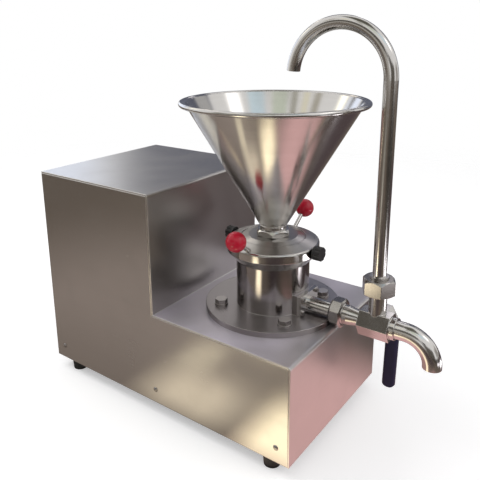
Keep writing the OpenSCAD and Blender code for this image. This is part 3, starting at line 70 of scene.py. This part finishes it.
def noise(tree, vector, scale, detail, roughness=0.5, distortion=0.0):
    """The value of a noise texture."""
    return add(tree, "ShaderNodeTexNoise", {
        "Vector": vector, "Scale": scale, "Detail": detail, "Roughness": roughness,
        "Distortion": distortion,
    }).outputs["Fac"]


def even(tree, value):
    """Spreads the busy middle of a noise."""
    return spread(tree, value, NOISE_LOW, NOISE_HIGH)


def on_piece(tree):
    """The place on the piece, in its own coordinates."""
    return add(tree, "ShaderNodeTexCoord").outputs["Object"]


def looks_up(tree, low, high):
    """How far a face looks up, between two shares of the vertical."""
    geometry = add(tree, "ShaderNodeNewGeometry")
    level = add(tree, "ShaderNodeSeparateXYZ", {0: geometry.outputs["Normal"]})
    return spread(tree, level.outputs["Z"], low, high)


def blend_colours(tree, amount, first, second):
    """Mixes two colours by a mask and gives the colour out."""
    node = add(tree, "ShaderNodeMix", data_type="RGBA")
    tree.links.new(amount, node.inputs["Factor"])
    for socket, value in ((node.inputs[COLOUR_A], first), (node.inputs[COLOUR_B], second)):
        if isinstance(value, bpy.types.NodeSocket):
            tree.links.new(value, socket)
        else:
            socket.default_value = (*value, 1.0)
    return node.outputs[COLOUR_OUT]


def start_group(name, inputs, outputs):
    """Opens a shader node group with named sockets."""
    tree = bpy.data.node_groups.new(name, "ShaderNodeTree")
    for label, kind, start in inputs:
        socket = tree.interface.new_socket(label, in_out="INPUT", socket_type=kind)
        socket.default_value = start
    for label in outputs:
        kind = "NodeSocketVector" if label.endswith("Normal") else "NodeSocketFloat"
        tree.interface.new_socket(label, in_out="OUTPUT", socket_type=kind)
    return tree, tree.nodes.new("NodeGroupInput"), tree.nodes.new("NodeGroupOutput")


def place_group(tree, group, **values):
    """Places a shared effect with this finish's own values."""
    node = add(tree, "ShaderNodeGroup", node_tree=group)
    for label, value in values.items():
        node.inputs[label].default_value = value
    return node


# Shared effects

def brush_lines_group():
    """Straight sanding lines of a brushed sheet, drawn out along one direction."""
    tree, given, result = start_group(
        "Brush lines", [("Stretch", "NodeSocketVector", (6.0, 900.0, 900.0))], ["Lines", "Bands"])
    drawn = add(tree, "ShaderNodeVectorMath", {0: on_piece(tree), 1: given.outputs["Stretch"]},
                operation="MULTIPLY").outputs[0]
    fine = noise(tree, drawn, scale=1.0, detail=4.0, roughness=0.65)
    broad = noise(tree, drawn, scale=0.07, detail=2.0)
    tree.links.new(even(tree, fine), result.inputs["Lines"])
    tree.links.new(even(tree, broad), result.inputs["Bands"])
    return tree


def turned_lines_group():
    """Fine rings left by the lathe round an upright axis."""
    tree, given, result = start_group(
        "Turned lines",
        [("Axis", "NodeSocketVector", MILL_AXIS), ("Density", "NodeSocketFloat", 1200.0)],
        ["Lines", "Bands"])
    offset = add(tree, "ShaderNodeVectorMath", {0: on_piece(tree), 1: given.outputs["Axis"]},
                 operation="SUBTRACT")
    parts = add(tree, "ShaderNodeSeparateXYZ", {0: offset.outputs[0]})
    flat = add(tree, "ShaderNodeCombineXYZ", {"X": parts.outputs["X"], "Y": parts.outputs["Y"]})
    radius = add(tree, "ShaderNodeVectorMath", {0: flat.outputs[0]}, operation="LENGTH")
    ring = maths(tree, "MULTIPLY", radius.outputs["Value"], given.outputs["Density"])
    level = maths(tree, "MULTIPLY", parts.outputs["Z"], given.outputs["Density"])
    cut = add(tree, "ShaderNodeCombineXYZ", {"X": ring, "Y": level}).outputs[0]
    fine = noise(tree, cut, scale=1.0, detail=3.0, roughness=0.6)
    broad = noise(tree, cut, scale=0.12, detail=2.0)
    tree.links.new(even(tree, fine), result.inputs["Lines"])
    tree.links.new(even(tree, broad), result.inputs["Bands"])
    return tree


def edge_wear_and_highlight_group():
    """Worn edges, found from how far a rounded normal leaves the true one; on bare metal this
    edge mask paints a highlight, on moulded pieces it marks scuffs.
    """
    tree, given, result = start_group(
        "Edge wear and highlight",
        [("Width", "NodeSocketFloat", 0.0012), ("Breaks", "NodeSocketFloat", 160.0)],
        ["Edge", "Soft Normal"])
    rounded = add(tree, "ShaderNodeBevel", {"Radius": given.outputs["Width"]}, samples=8)
    geometry = add(tree, "ShaderNodeNewGeometry")
    agree = add(tree, "ShaderNodeVectorMath",
                {0: rounded.outputs["Normal"], 1: geometry.outputs["Normal"]},
                operation="DOT_PRODUCT")
    edge = spread(tree, agree.outputs["Value"], low=0.99, high=0.86)
    breaks = noise(tree, on_piece(tree), scale=given.outputs["Breaks"], detail=3.0)
    wear_and_highlight_edges = maths(tree, "MULTIPLY", edge, spread(tree, breaks, low=0.25, high=0.6, to_low=0.65))
    tree.links.new(wear_and_highlight_edges, result.inputs["Edge"])
    tree.links.new(rounded.outputs["Normal"], result.inputs["Soft Normal"])
    return tree


def handling_marks_group():
    """Wipe marks and faint hand prints that dull a bare metal."""
    tree, given, result = start_group(
        "Handling marks", [("Scale", "NodeSocketFloat", 14.0)], ["Marks"])
    cloud = noise(tree, on_piece(tree), scale=given.outputs["Scale"], detail=5.0, roughness=0.6,
                  distortion=0.8)
    tree.links.new(spread(tree, cloud, low=0.35, high=0.75), result.inputs["Marks"])
    return tree


def settled_dust_group():
    """A thin film of dust on faces that look up."""
    tree, given, result = start_group(
        "Settled dust", [("Scale", "NodeSocketFloat", 60.0)], ["Dust"])
    facing = looks_up(tree, low=0.35, high=0.95)
    specks = noise(tree, on_piece(tree), scale=given.outputs["Scale"], detail=6.0, roughness=0.7)
    dust = maths(tree, "MULTIPLY", facing, spread(tree, specks, low=0.4, high=0.75))
    tree.links.new(dust, result.inputs["Dust"])
    return tree


def moulded_grain_group():
    """The fine leathery skin of moulded plastic, rubber or paint."""
    tree, given, result = start_group(
        "Moulded grain", [("Scale", "NodeSocketFloat", 1500.0)], ["Grain", "Mottle"])
    place = on_piece(tree)
    grain = noise(tree, place, scale=given.outputs["Scale"], detail=3.0, roughness=0.6)
    mottle = noise(tree, place, scale=40.0, detail=4.0)
    tree.links.new(even(tree, grain), result.inputs["Grain"])
    tree.links.new(even(tree, mottle), result.inputs["Mottle"])
    return tree


def upper_faces_group():
    """Where a face looks up and takes the wiping; on some metals the same mask paints a lighter
    top, which is painted top light.
    """
    tree, _, result = start_group("Upper faces", [], ["Up"])
    tree.links.new(looks_up(tree, low=0.6, high=0.95), result.inputs["Up"])
    return tree


def deck_film_and_shade_group(upper_faces):
    """The dull, wiped film on the low deck; it fades out towards the spout, which leaves the deck
    darker there as painted shade under the outlet pipe.
    """
    tree, given, result = start_group(
        "Deck film with painted shade",
        [("Top", "NodeSocketFloat", 0.2), ("Start", "NodeSocketFloat", 0.20),
         ("Full", "NodeSocketFloat", 0.12)],
        ["Film"])
    place = on_piece(tree)
    parts = add(tree, "ShaderNodeSeparateXYZ", {0: place})
    low = maths(tree, "LESS_THAN", parts.outputs["Z"], given.outputs["Top"])
    # The film fades out towards the spout so that the deck stays darker there: painted shade of
    # the outlet pipe.
    share = spread(tree, parts.outputs["X"], given.outputs["Start"], given.outputs["Full"])
    upper = place_group(tree, upper_faces)
    wipes = noise(tree, place, scale=16.0, detail=3.0, distortion=0.5)
    film = maths(tree, "MULTIPLY", low, share)
    film = maths(tree, "MULTIPLY", film, upper.outputs["Up"])
    film = maths(tree, "MULTIPLY", film, spread(tree, wipes, low=0.35, high=0.65, to_low=0.7))
    tree.links.new(film, result.inputs["Film"])
    return tree


BRUSH_LINES = brush_lines_group()
TURNED_LINES = turned_lines_group()
EDGE_WEAR_AND_HIGHLIGHT = edge_wear_and_highlight_group()
HANDLING_MARKS = handling_marks_group()
SETTLED_DUST = settled_dust_group()
MOULDED_GRAIN = moulded_grain_group()
UPPER_FACES = upper_faces_group()
DECK_FILM_AND_SHADE = deck_film_and_shade_group(UPPER_FACES)


# Kinds of finish

RELIEF = 0.0002          # depth of the lines and the grain, in metres
EDGE_HIGHLIGHT_GAIN = 1.3          # how much lighter a metal edge is painted: a painted highlight on the bend
MARK_TONE = 0.2          # how far wipe marks dull the colour of metal
RING_TURN = 0.25         # a quarter turn of the stretched highlight
FILM_SHARE = 0.65        # how much of the metal the deck's film hides
MOULDED_EDGE = 0.0010    # width of a scuffed edge, in metres
SCUFF_SHARE = 0.6
MOTTLE_DEPTH = 0.75      # the darker tone of a moulded skin
MOTTLE_ROUGH = 0.12
COAT_ROUGH = 0.08
DUST_GREY = (0.42, 0.40, 0.37)


def new_finish(name):
    """A new material with its node tree and its main shader."""
    material = bpy.data.materials.new(name)
    material.use_nodes = True
    tree = material.node_tree
    return material, tree, tree.nodes["Principled BSDF"]


def bare_metal(name, colour, dull, lines_group, lines, rough, marks_scale=14.0, bump=0.008,
               line_rough=0.05, mark_rough=0.06, band_tone=0.3, edge=0.0012, anisotropic=0.0,
               soft_edges=True, up_rough=0.0, painted_top_colour=None, film=None):
    """Bare metal: sanding or lathe lines, wipe marks, a painted highlight on the edges, maybe
    painted top light on upward faces, maybe a dull film that leaves painted shade by the spout.
    """
    material, tree, shader = new_finish(name)
    shader.inputs["Metallic"].default_value = 1.0
    cut = place_group(tree, lines_group, **lines)
    hands = place_group(tree, HANDLING_MARKS, Scale=marks_scale)
    wear_and_highlight_edges = place_group(tree, EDGE_WEAR_AND_HIGHLIGHT, Width=edge)

    bands = maths(tree, "MULTIPLY", cut.outputs["Bands"], band_tone)
    tone = scale_and_add(tree, hands.outputs["Marks"], MARK_TONE, bands)
    body = blend_colours(tree, tone, colour, dull)
    sanded = scale_and_add(tree, cut.outputs["Lines"], line_rough, rough)
    roughness = scale_and_add(tree, hands.outputs["Marks"], mark_rough, sanded)
    if up_rough or painted_top_colour:
        upper = place_group(tree, UPPER_FACES).outputs["Up"]
        roughness = scale_and_add(tree, upper, up_rough, roughness)
    # Upward faces get a lighter colour: painted top light, where light falls on the top.
    if painted_top_colour:
        body = blend_colours(tree, upper, body, painted_top_colour)
    if film:
        film_and_shade = place_group(tree, DECK_FILM_AND_SHADE).outputs["Film"]
        body = blend_colours(tree, film_and_shade, body, film)
        bare = scale_and_add(tree, film_and_shade, -FILM_SHARE, 1.0)
        tree.links.new(bare, shader.inputs["Metallic"])
    # The edges are painted lighter here: a painted highlight standing in for light caught on the
    # bend.
    bright = tuple(min(1.0, c * EDGE_HIGHLIGHT_GAIN) for c in colour)
    body = blend_colours(tree, wear_and_highlight_edges.outputs["Edge"], body, bright)
    tree.links.new(body, shader.inputs["Base Color"])
    tree.links.new(roughness, shader.inputs["Roughness"])

    skin = add(tree, "ShaderNodeBump", {
        "Height": cut.outputs["Lines"], "Strength": bump, "Distance": RELIEF})
    if soft_edges:
        tree.links.new(wear_and_highlight_edges.outputs["Soft Normal"], skin.inputs["Normal"])
    tree.links.new(skin.outputs["Normal"], shader.inputs["Normal"])
    if anisotropic:
        shader.inputs["Anisotropic"].default_value = anisotropic
        shader.inputs["Anisotropic Rotation"].default_value = RING_TURN
        tangent = add(tree, "ShaderNodeTangent", direction_type="RADIAL", axis="Z")
        tree.links.new(tangent.outputs["Tangent"], shader.inputs["Tangent"])
    return material


def moulded(name, colour, worn_colour, rough, grain=1500.0, bump=0.15, coat=0.0, dust=0.25,
            gloss=0.5):
    """Plastic, rubber or paint: skin grain, mottling, scuffed edges and a little dust."""
    material, tree, shader = new_finish(name)
    skin = place_group(tree, MOULDED_GRAIN, Scale=grain)
    wear_and_highlight_edges = place_group(tree, EDGE_WEAR_AND_HIGHLIGHT, Width=MOULDED_EDGE)
    film = place_group(tree, SETTLED_DUST)

    deep = tuple(c * MOTTLE_DEPTH for c in colour)
    body = blend_colours(tree, skin.outputs["Mottle"], colour, deep)
    scuffs = maths(tree, "MULTIPLY", wear_and_highlight_edges.outputs["Edge"], SCUFF_SHARE)
    body = blend_colours(tree, scuffs, body, worn_colour)
    dusting = maths(tree, "MULTIPLY", film.outputs["Dust"], dust)
    body = blend_colours(tree, dusting, body, DUST_GREY)
    tree.links.new(body, shader.inputs["Base Color"])
    roughness = scale_and_add(tree, skin.outputs["Mottle"], MOTTLE_ROUGH, rough)
    tree.links.new(roughness, shader.inputs["Roughness"])

    relief = add(tree, "ShaderNodeBump", {
        "Height": skin.outputs["Grain"], "Strength": bump, "Distance": RELIEF})
    tree.links.new(relief.outputs["Normal"], shader.inputs["Normal"])
    shader.inputs["Specular IOR Level"].default_value = gloss
    shader.inputs["Coat Weight"].default_value = coat
    shader.inputs["Coat Roughness"].default_value = COAT_ROUGH
    return material


# Finishes

STEEL = (0.56, 0.54, 0.52)
STEEL_DULL = (0.47, 0.45, 0.43)
HEAD = (0.50, 0.48, 0.46)
HEAD_DULL = (0.39, 0.37, 0.35)
POLISHED = (0.62, 0.60, 0.58)
POLISHED_DULL = (0.54, 0.52, 0.49)
DECK_LILAC = (0.66, 0.61, 0.69)
ALONG_X = {"Stretch": (5.0, 950.0, 950.0)}
ALONG_Y = {"Stretch": (950.0, 5.0, 950.0)}
ROUND_MILL = {"Axis": MILL_AXIS}
ROUND_VALVE = {"Axis": VALVE_AXIS}
ROUND_MOTOR = {"Axis": MOTOR_AXIS, "Density": 700.0}

side_sheet = bare_metal(
    "brushed_side_sheet", STEEL, STEEL_DULL, BRUSH_LINES, ALONG_X, rough=0.20,
    bump=0.002, line_rough=0.03, band_tone=0.10, edge=0.0022)
wrap_sheet = bare_metal(
    "brushed_wrap_sheet", STEEL, STEEL_DULL, BRUSH_LINES, ALONG_Y, rough=0.28,
    bump=0.002, line_rough=0.03, band_tone=0.10, edge=0.0022, film=DECK_LILAC)
turned_head = bare_metal(
    "turned_head_steel", HEAD, HEAD_DULL, TURNED_LINES, ROUND_MILL, rough=0.10,
    marks_scale=30.0, bump=0.004, anisotropic=0.4, up_rough=0.16)
# A darker copy of the head steel: painted shade on the housing wall and flange rim; the flange
# top is painted lighter as painted top light.
shaded_housing_steel = bare_metal(
    "turned_housing_steel_painted_shade", (0.33, 0.31, 0.30), (0.27, 0.25, 0.24), TURNED_LINES, ROUND_MILL,
    rough=0.10, marks_scale=30.0, bump=0.004, anisotropic=0.4, up_rough=0.16,
    painted_top_colour=(0.52, 0.49, 0.50))
nut_steel = bare_metal(
    "plain_nut_steel", HEAD_DULL, (0.31, 0.29, 0.28), TURNED_LINES, ROUND_VALVE, rough=0.15,
    marks_scale=60.0, bump=0.004, edge=0.0010)
spun_hopper = bare_metal(
    "spun_hopper_steel", POLISHED, POLISHED_DULL, TURNED_LINES, ROUND_MILL, rough=0.12,
    marks_scale=18.0, bump=0.003, anisotropic=0.6)
polished_tube = bare_metal(
    "polished_tube_steel", POLISHED, POLISHED_DULL, TURNED_LINES, ROUND_VALVE, rough=0.14,
    marks_scale=40.0, bump=0.001, line_rough=0.02, mark_rough=0.04, soft_edges=False)
valve_steel = bare_metal(
    "machined_valve_steel", STEEL, STEEL_DULL, TURNED_LINES, ROUND_VALVE, rough=0.12,
    marks_scale=60.0, bump=0.004, edge=0.0010)
# Bolt heads: upward faces painted lighter than the dark sides, which is painted top light.
bolt_steel = bare_metal(
    "plain_bolt_steel", (0.30, 0.28, 0.27), (0.22, 0.20, 0.19), TURNED_LINES, ROUND_MILL,
    rough=0.22, marks_scale=120.0, edge=0.0006, up_rough=0.10, painted_top_colour=(0.66, 0.63, 0.62))
ground_shaft = bare_metal(
    "ground_shaft_steel", (0.62, 0.62, 0.63), STEEL_DULL, TURNED_LINES, ROUND_MILL, rough=0.18,
    marks_scale=50.0)
copper_wire = bare_metal(
    "lacquered_copper", (0.62, 0.32, 0.16), (0.45, 0.20, 0.09), TURNED_LINES, ROUND_MOTOR,
    rough=0.35, bump=0.4)
frame_paint = moulded(
    "dark_frame_paint", (0.16, 0.17, 0.18), (0.40, 0.40, 0.40), rough=0.45, grain=700.0)
motor_paint = moulded(
    "blue_grey_motor_paint", (0.10, 0.15, 0.20), (0.32, 0.33, 0.34), rough=0.38, grain=600.0)
cast_iron = moulded(
    "machined_cast_iron", (0.13, 0.13, 0.135), (0.36, 0.36, 0.36), rough=0.5, grain=900.0,
    bump=0.35)
red_ball = moulded(
    "glossy_red_ball", (0.52, 0.005, 0.028), (0.55, 0.05, 0.07), rough=0.26, grain=900.0,
    bump=0.02, coat=0.5, dust=0.0, gloss=0.2)
green_button = moulded(
    "glossy_green_button", (0.02, 0.26, 0.06), (0.10, 0.40, 0.14), rough=0.25, grain=900.0,
    bump=0.05, coat=0.5, dust=0.1)
stop_red = moulded(
    "glossy_red_button", (0.40, 0.01, 0.02), (0.52, 0.06, 0.06), rough=0.25, grain=900.0,
    bump=0.05, coat=0.5, dust=0.1)
black_plastic = moulded(
    "black_moulded_plastic", (0.018, 0.018, 0.019), (0.07, 0.07, 0.07), rough=0.32)
navy_vinyl = moulded(
    "navy_dipped_vinyl", (0.010, 0.012, 0.045), (0.04, 0.045, 0.10), rough=0.34, grain=1100.0,
    dust=0.0, gloss=0.25)
black_rubber = moulded(
    "black_rubber", (0.014, 0.014, 0.014), (0.05, 0.05, 0.05), rough=0.65, grain=900.0, bump=0.3)
white_plastic = moulded(
    "white_seat_plastic", (0.72, 0.72, 0.70), (0.80, 0.80, 0.78), rough=0.4)

FINISH_OF_SLOT = {
    "cabinet_sheet": wrap_sheet,
    "head_steel": turned_head,
    "polished_steel": polished_tube,
    "fastener_steel": bolt_steel,
    "frame_steel": frame_paint,
    "motor_paint": motor_paint,
    "shaft_steel": ground_shaft,
    "cast_grey": cast_iron,
    "winding_copper": copper_wire,
    "red_ball": red_ball,
    "green_button": green_button,
    "black_plastic": black_plastic,
    "navy_vinyl": navy_vinyl,
    "black_rubber": black_rubber,
    "white_plastic": white_plastic,
}
FINISH_OF_NODE = {
    "near_panel": side_sheet,
    "far_panel": side_sheet,
    "hopper": spun_hopper,
    "valve_body": valve_steel,
    "mill_housing": shaded_housing_steel,
    "union_nut": nut_steel,
    "riser_nut": nut_steel,
    "stop_button": stop_red,
}


def dress_nodes():
    """Gives every CAD node its own finish, or the finish of its material slot."""
    slots = {part["node"]: part["material_slot"] for part in frame["record"]["subparts"]}
    for name, piece in frame["nodes"].items():
        finish = FINISH_OF_NODE.get(name) or FINISH_OF_SLOT[slots[name]]
        piece.data.materials.clear()
        piece.data.materials.append(finish)


dress_nodes()


# Studio

CAMERA_PLACE = (0.4885, -0.665, 0.5676)
CAMERA_AZIMUTH, CAMERA_ELEVATION, CAMERA_ROLL = 36.10, 14.92, -0.36
CAMERA_LENS = 43.3
CAMERA_SENSOR = 36.0
CAMERA_SHIFT = -0.125
CAMERA_REACH = (0.01, 50.0)

FLOOR_SIZE = 8.0
FLOOR_COLOUR = (0.88, 0.88, 0.88, 1.0)
FLOOR_LIFT = 0.36                 # a glow that brings the seen floor near white
FADE_START, FADE_END = 0.7, 2.2   # where the floor starts to fade and where it has gone

WHITE = (1.0, 1.0, 1.0, 1.0)
SKY_COLOUR = (0.98, 0.98, 1.0, 1.0)
SKY_LIGHT = 0.6                   # strength of the soft light from the surroundings

# Lamps: name, place, size, power, colour.
LAMP_TARGET = (0.0, 0.0, 0.2)
LAMPS = [
    ("window_lamp", (-1.45, -0.53, 1.7), (1.2, 1.0), 16.0, (1.0, 0.99, 0.97)),
    ("fill_lamp", (1.7, 0.3, 1.35), (1.0, 1.0), 9.0, (1.0, 0.98, 0.96)),
]
# Cards on the floor, each a step above the one before: name, middle, size, colour, core.
CARD_STEP = 0.0005
FLOOR_CARDS = [
    ("brown_floor_card", (0.0, 0.0), (14.0, 14.0), (0.17, 0.14, 0.115), 0.8),
    ("dusk_floor_card", (0.9, 0.95), (2.2, 1.8), (0.10, 0.075, 0.078), 0.6),
    ("dark_far_card", (2.6, -0.7), (3.6, 3.2), (0.055, 0.048, 0.042), 0.7),
    ("pale_far_card", (-0.24, -1.95), (1.2, 1.9), (0.36, 0.34, 0.30), 0.5),
    ("pale_near_card", (-0.06, -1.15), (0.5, 0.5), (0.70, 0.65, 0.58), 0.4),
    ("tan_floor_card", (-0.35, -0.42), (1.3, 0.9), (0.38, 0.32, 0.285), 0.25),
    ("dark_floor_card", (0.5, -0.6), (0.6, 0.6), (0.09, 0.07, 0.072), 0.6),
    ("rose_floor_card", (0.30, -0.02), (0.5, 0.5), (0.95, 0.59, 0.58), 0.45),
    ("cream_floor_card", (-0.04, -0.20), (0.24, 0.15), (1.1, 0.96, 0.74), 0.3),
    ("cream_corner_card", (0.14, -0.205), (0.17, 0.18), (2.3, 2.0, 1.4), 0.4),
    ("cream_hopper_card", (-0.10, -0.29), (0.09, 0.12), (1.1, 0.98, 0.74), 0.4),
    ("cream_streak_card", (-0.03, -0.56), (0.20, 0.30), (4.6, 4.1, 3.0), 0.4),
    ("white_streak_card", (0.66, 0.32), (0.3, 0.3), (8.0, 7.8, 8.2), 0.4),
    ("white_ring_card", (0.95, 0.04), (0.4, 0.3), (2.6, 2.55, 2.7), 0.4),
]
# Cards hung round the hopper: name, azimuth, elevation, distance, size, colour, core.
HOPPER_MIDDLE = Vector((MILL_AXIS[0], 0.0, 0.45))
HUNG_CARDS = [
    ("grey_back_card", 103, 18, 3.0, (4.9, 3.2), (0.145, 0.155, 0.20), 0.87),
    ("olive_top_card", -55, 84, 2.4, (2.0, 2.0), (0.13, 0.125, 0.10), 0.7),
    ("white_right_card", 18, 42, 2.6, (1.0, 0.9), (3.0, 3.0, 3.0), 0.5),
    ("grey_right_card", 76, 24, 2.6, (1.2, 0.9), (0.55, 0.55, 0.55), 0.7),
    ("blue_front_card", -22, 51, 2.6, (1.1, 0.9), (0.80, 1.0, 1.12), 0.6),
    ("green_front_card", -68, 52, 2.6, (1.0, 0.9), (0.76, 0.84, 0.70), 0.6),
    ("olive_front_card", -96, 50, 2.6, (0.45, 0.8), (0.33, 0.32, 0.22), 0.4),
    ("cream_front_card", -117, 47, 2.6, (0.5, 0.8), (1.0, 0.95, 0.70), 0.4),
    ("olive_left_card", -136, 42, 2.6, (0.6, 0.8), (0.45, 0.42, 0.32), 0.4),
    ("window_card", 179, 30, 2.4, (0.6, 0.7), (2.6, 2.55, 2.2), 0.4),
    ("white_dome_card", 103, 26, 2.4, (0.4, 0.5), (2.8, 2.7, 2.8), 0.4),
    ("cream_dome_card", 142, 33, 2.4, (0.55, 0.45), (2.8, 2.6, 2.3), 0.4),
    ("dark_left_card", 160, 26, 2.6, (0.5, 0.9), (0.22, 0.20, 0.16), 0.5),
    ("dark_front_card", -54, 17, 2.4, (0.7, 0.5), (0.07, 0.06, 0.06), 0.6),
    ("olive_low_card", -100, 22, 2.4, (3.2, 1.1), (0.12, 0.11, 0.095), 0.7),
    ("blue_left_card", 160, 12, 3.2, (2.0, 1.6), (1.25, 1.36, 1.60), 0.7),
    ("front_wall_card", -44, 5, 5.0, (6.0, 2.6), (0.14, 0.13, 0.115), 0.6),
    ("right_wall_card", 22, 6, 5.0, (4.6, 2.4), (0.38, 0.36, 0.34), 0.4),
    ("left_wall_card", -112, 6, 5.1, (6.2, 2.4), (0.50, 0.48, 0.44), 0.5),
]


def aim_camera():
    """The photograph's viewpoint, found from the cabinet's edges."""
    lens = bpy.data.cameras.new("photo_camera")
    lens.lens = CAMERA_LENS
    lens.sensor_width = CAMERA_SENSOR
    lens.shift_y = CAMERA_SHIFT
    lens.clip_start, lens.clip_end = CAMERA_REACH
    camera = bpy.data.objects.new("photo_camera", lens)
    bpy.context.collection.objects.link(camera)
    azimuth, elevation = math.radians(CAMERA_AZIMUTH), math.radians(CAMERA_ELEVATION)
    forward = Vector((-math.sin(azimuth) * math.cos(elevation),
                      math.cos(azimuth) * math.cos(elevation), -math.sin(elevation)))
    turn = forward.to_track_quat("-Z", "Y").to_matrix().to_4x4()
    roll = Matrix.Rotation(math.radians(CAMERA_ROLL), 4, "Z")
    camera.matrix_world = Matrix.Translation(CAMERA_PLACE) @ turn @ roll
    bpy.context.scene.camera = camera


def flat_sheet(name, width, depth):
    """A plain rectangle in its own XY plane."""
    mesh = bpy.data.meshes.new(name)
    x, y = width / 2, depth / 2
    mesh.from_pydata([(-x, -y, 0), (x, -y, 0), (x, y, 0), (-x, y, 0)], [], [(0, 1, 2, 3)])
    sheet = bpy.data.objects.new(name, mesh)
    bpy.context.collection.objects.link(sheet)
    return sheet


def seen_share(tree):
    """One for the eye, in reflections and through glass, nought for the light on surfaces."""
    path = add(tree, "ShaderNodeLightPath")
    seen = maths(tree, "ADD", path.outputs["Is Camera Ray"], path.outputs["Is Glossy Ray"])
    seen = maths(tree, "ADD", seen, path.outputs["Is Transmission Ray"])
    return maths(tree, "MINIMUM", seen, 1.0)


def lay_floor():
    """Pale floor that keeps the shadow and fades into the white background."""
    floor = flat_sheet("studio_floor", FLOOR_SIZE, FLOOR_SIZE)
    material, tree, shader = new_finish("pale_floor")
    shader.inputs["Base Color"].default_value = FLOOR_COLOUR
    shader.inputs["Roughness"].default_value = 0.9
    shader.inputs["Specular IOR Level"].default_value = 0.1
    shader.inputs["Emission Color"].default_value = WHITE
    lift = maths(tree, "MULTIPLY", seen_share(tree), FLOOR_LIFT)
    tree.links.new(lift, shader.inputs["Emission Strength"])
    away = add(tree, "ShaderNodeVectorMath", {0: on_piece(tree)}, operation="LENGTH")
    near = spread(tree, away.outputs["Value"], FADE_START, FADE_END, to_low=1.0, to_high=0.0)
    tree.links.new(near, shader.inputs["Alpha"])
    floor.data.materials.append(material)


def light_world():
    """White surroundings for the eye and in reflections, softer light on surfaces."""
    world = bpy.data.worlds.new("white_studio")
    bpy.context.scene.world = world
    world.use_nodes = True
    tree = world.node_tree
    tree.nodes.clear()
    white = add(tree, "ShaderNodeBackground", {"Color": WHITE, "Strength": 1.0})
    soft = add(tree, "ShaderNodeBackground", {"Color": SKY_COLOUR, "Strength": SKY_LIGHT})
    mixed = add(tree, "ShaderNodeMixShader",
                {0: seen_share(tree), 1: soft.outputs[0], 2: white.outputs[0]})
    add(tree, "ShaderNodeOutputWorld", {"Surface": mixed.outputs[0]})


def soft_lamp(name, place, size, power, colour):
    """A large lamp aimed at the mill; reflections show the cards in its place."""
    data = bpy.data.lights.new(name, "AREA")
    data.shape = "RECTANGLE"
    data.size, data.size_y = size
    data.energy = power
    data.color = colour
    lamp = bpy.data.objects.new(name, data)
    bpy.context.collection.objects.link(lamp)
    lamp.visible_glossy = False
    lamp.location = place
    towards = Vector(LAMP_TARGET) - Vector(place)
    lamp.rotation_euler = towards.to_track_quat("-Z", "Y").to_euler()


def soft_card(name, place, target, size, colour, core):
    """A soft-edged card seen only in reflections; core is its full-strength share."""
    card = flat_sheet(name, *size)
    card.location = place
    card.rotation_euler = (Vector(target) - Vector(place)).to_track_quat("Z", "Y").to_euler()
    for ray in ("camera", "diffuse", "transmission", "volume_scatter", "shadow"):
        setattr(card, "visible_" + ray, False)
    material = bpy.data.materials.new(name)
    material.use_nodes = True
    tree = material.node_tree
    tree.nodes.clear()
    across = add(tree, "ShaderNodeTexCoord")
    parts = add(tree, "ShaderNodeSeparateXYZ", {0: across.outputs["Generated"]})
    shares = []
    for label in ("X", "Y"):
        off = maths(tree, "SUBTRACT", parts.outputs[label], 0.5)
        off = maths(tree, "ABSOLUTE", off, 0.0)
        shares.append(spread(tree, off, core / 2, 0.5, to_low=1.0, to_high=0.0))
    cover = maths(tree, "MULTIPLY", *shares)
    glow = add(tree, "ShaderNodeEmission", {"Color": (*colour, 1.0), "Strength": 1.0})
    clear = add(tree, "ShaderNodeBsdfTransparent")
    mixed = add(tree, "ShaderNodeMixShader",
                {0: cover, 1: clear.outputs[0], 2: glow.outputs[0]})
    add(tree, "ShaderNodeOutputMaterial", {"Surface": mixed.outputs[0]})
    card.data.materials.append(material)


def floor_card(layer, name, centre, size, colour, core):
    """A card that lies on the floor, face up."""
    soft_card(name, (*centre, CARD_STEP * layer), (*centre, 1.0), size, colour, core)


def hung_card(name, azimuth, elevation, distance, size, colour, core):
    """A card hung round the hopper and facing it."""
    turn, rise = math.radians(azimuth), math.radians(elevation)
    away = Vector((math.cos(turn) * math.cos(rise), math.sin(turn) * math.cos(rise),
                   math.sin(rise)))
    soft_card(name, HOPPER_MIDDLE + distance * away, HOPPER_MIDDLE, size, colour, core)


def build_studio():
    """Floor, surroundings, lamps and cards."""
    lay_floor()
    light_world()
    for lamp in LAMPS:
        soft_lamp(*lamp)
    for layer, card in enumerate(FLOOR_CARDS, start=1):
        floor_card(layer, *card)
    for card in HUNG_CARDS:
        hung_card(*card)


aim_camera()
build_studio()
bpy.context.scene.view_settings.view_transform = "Standard"
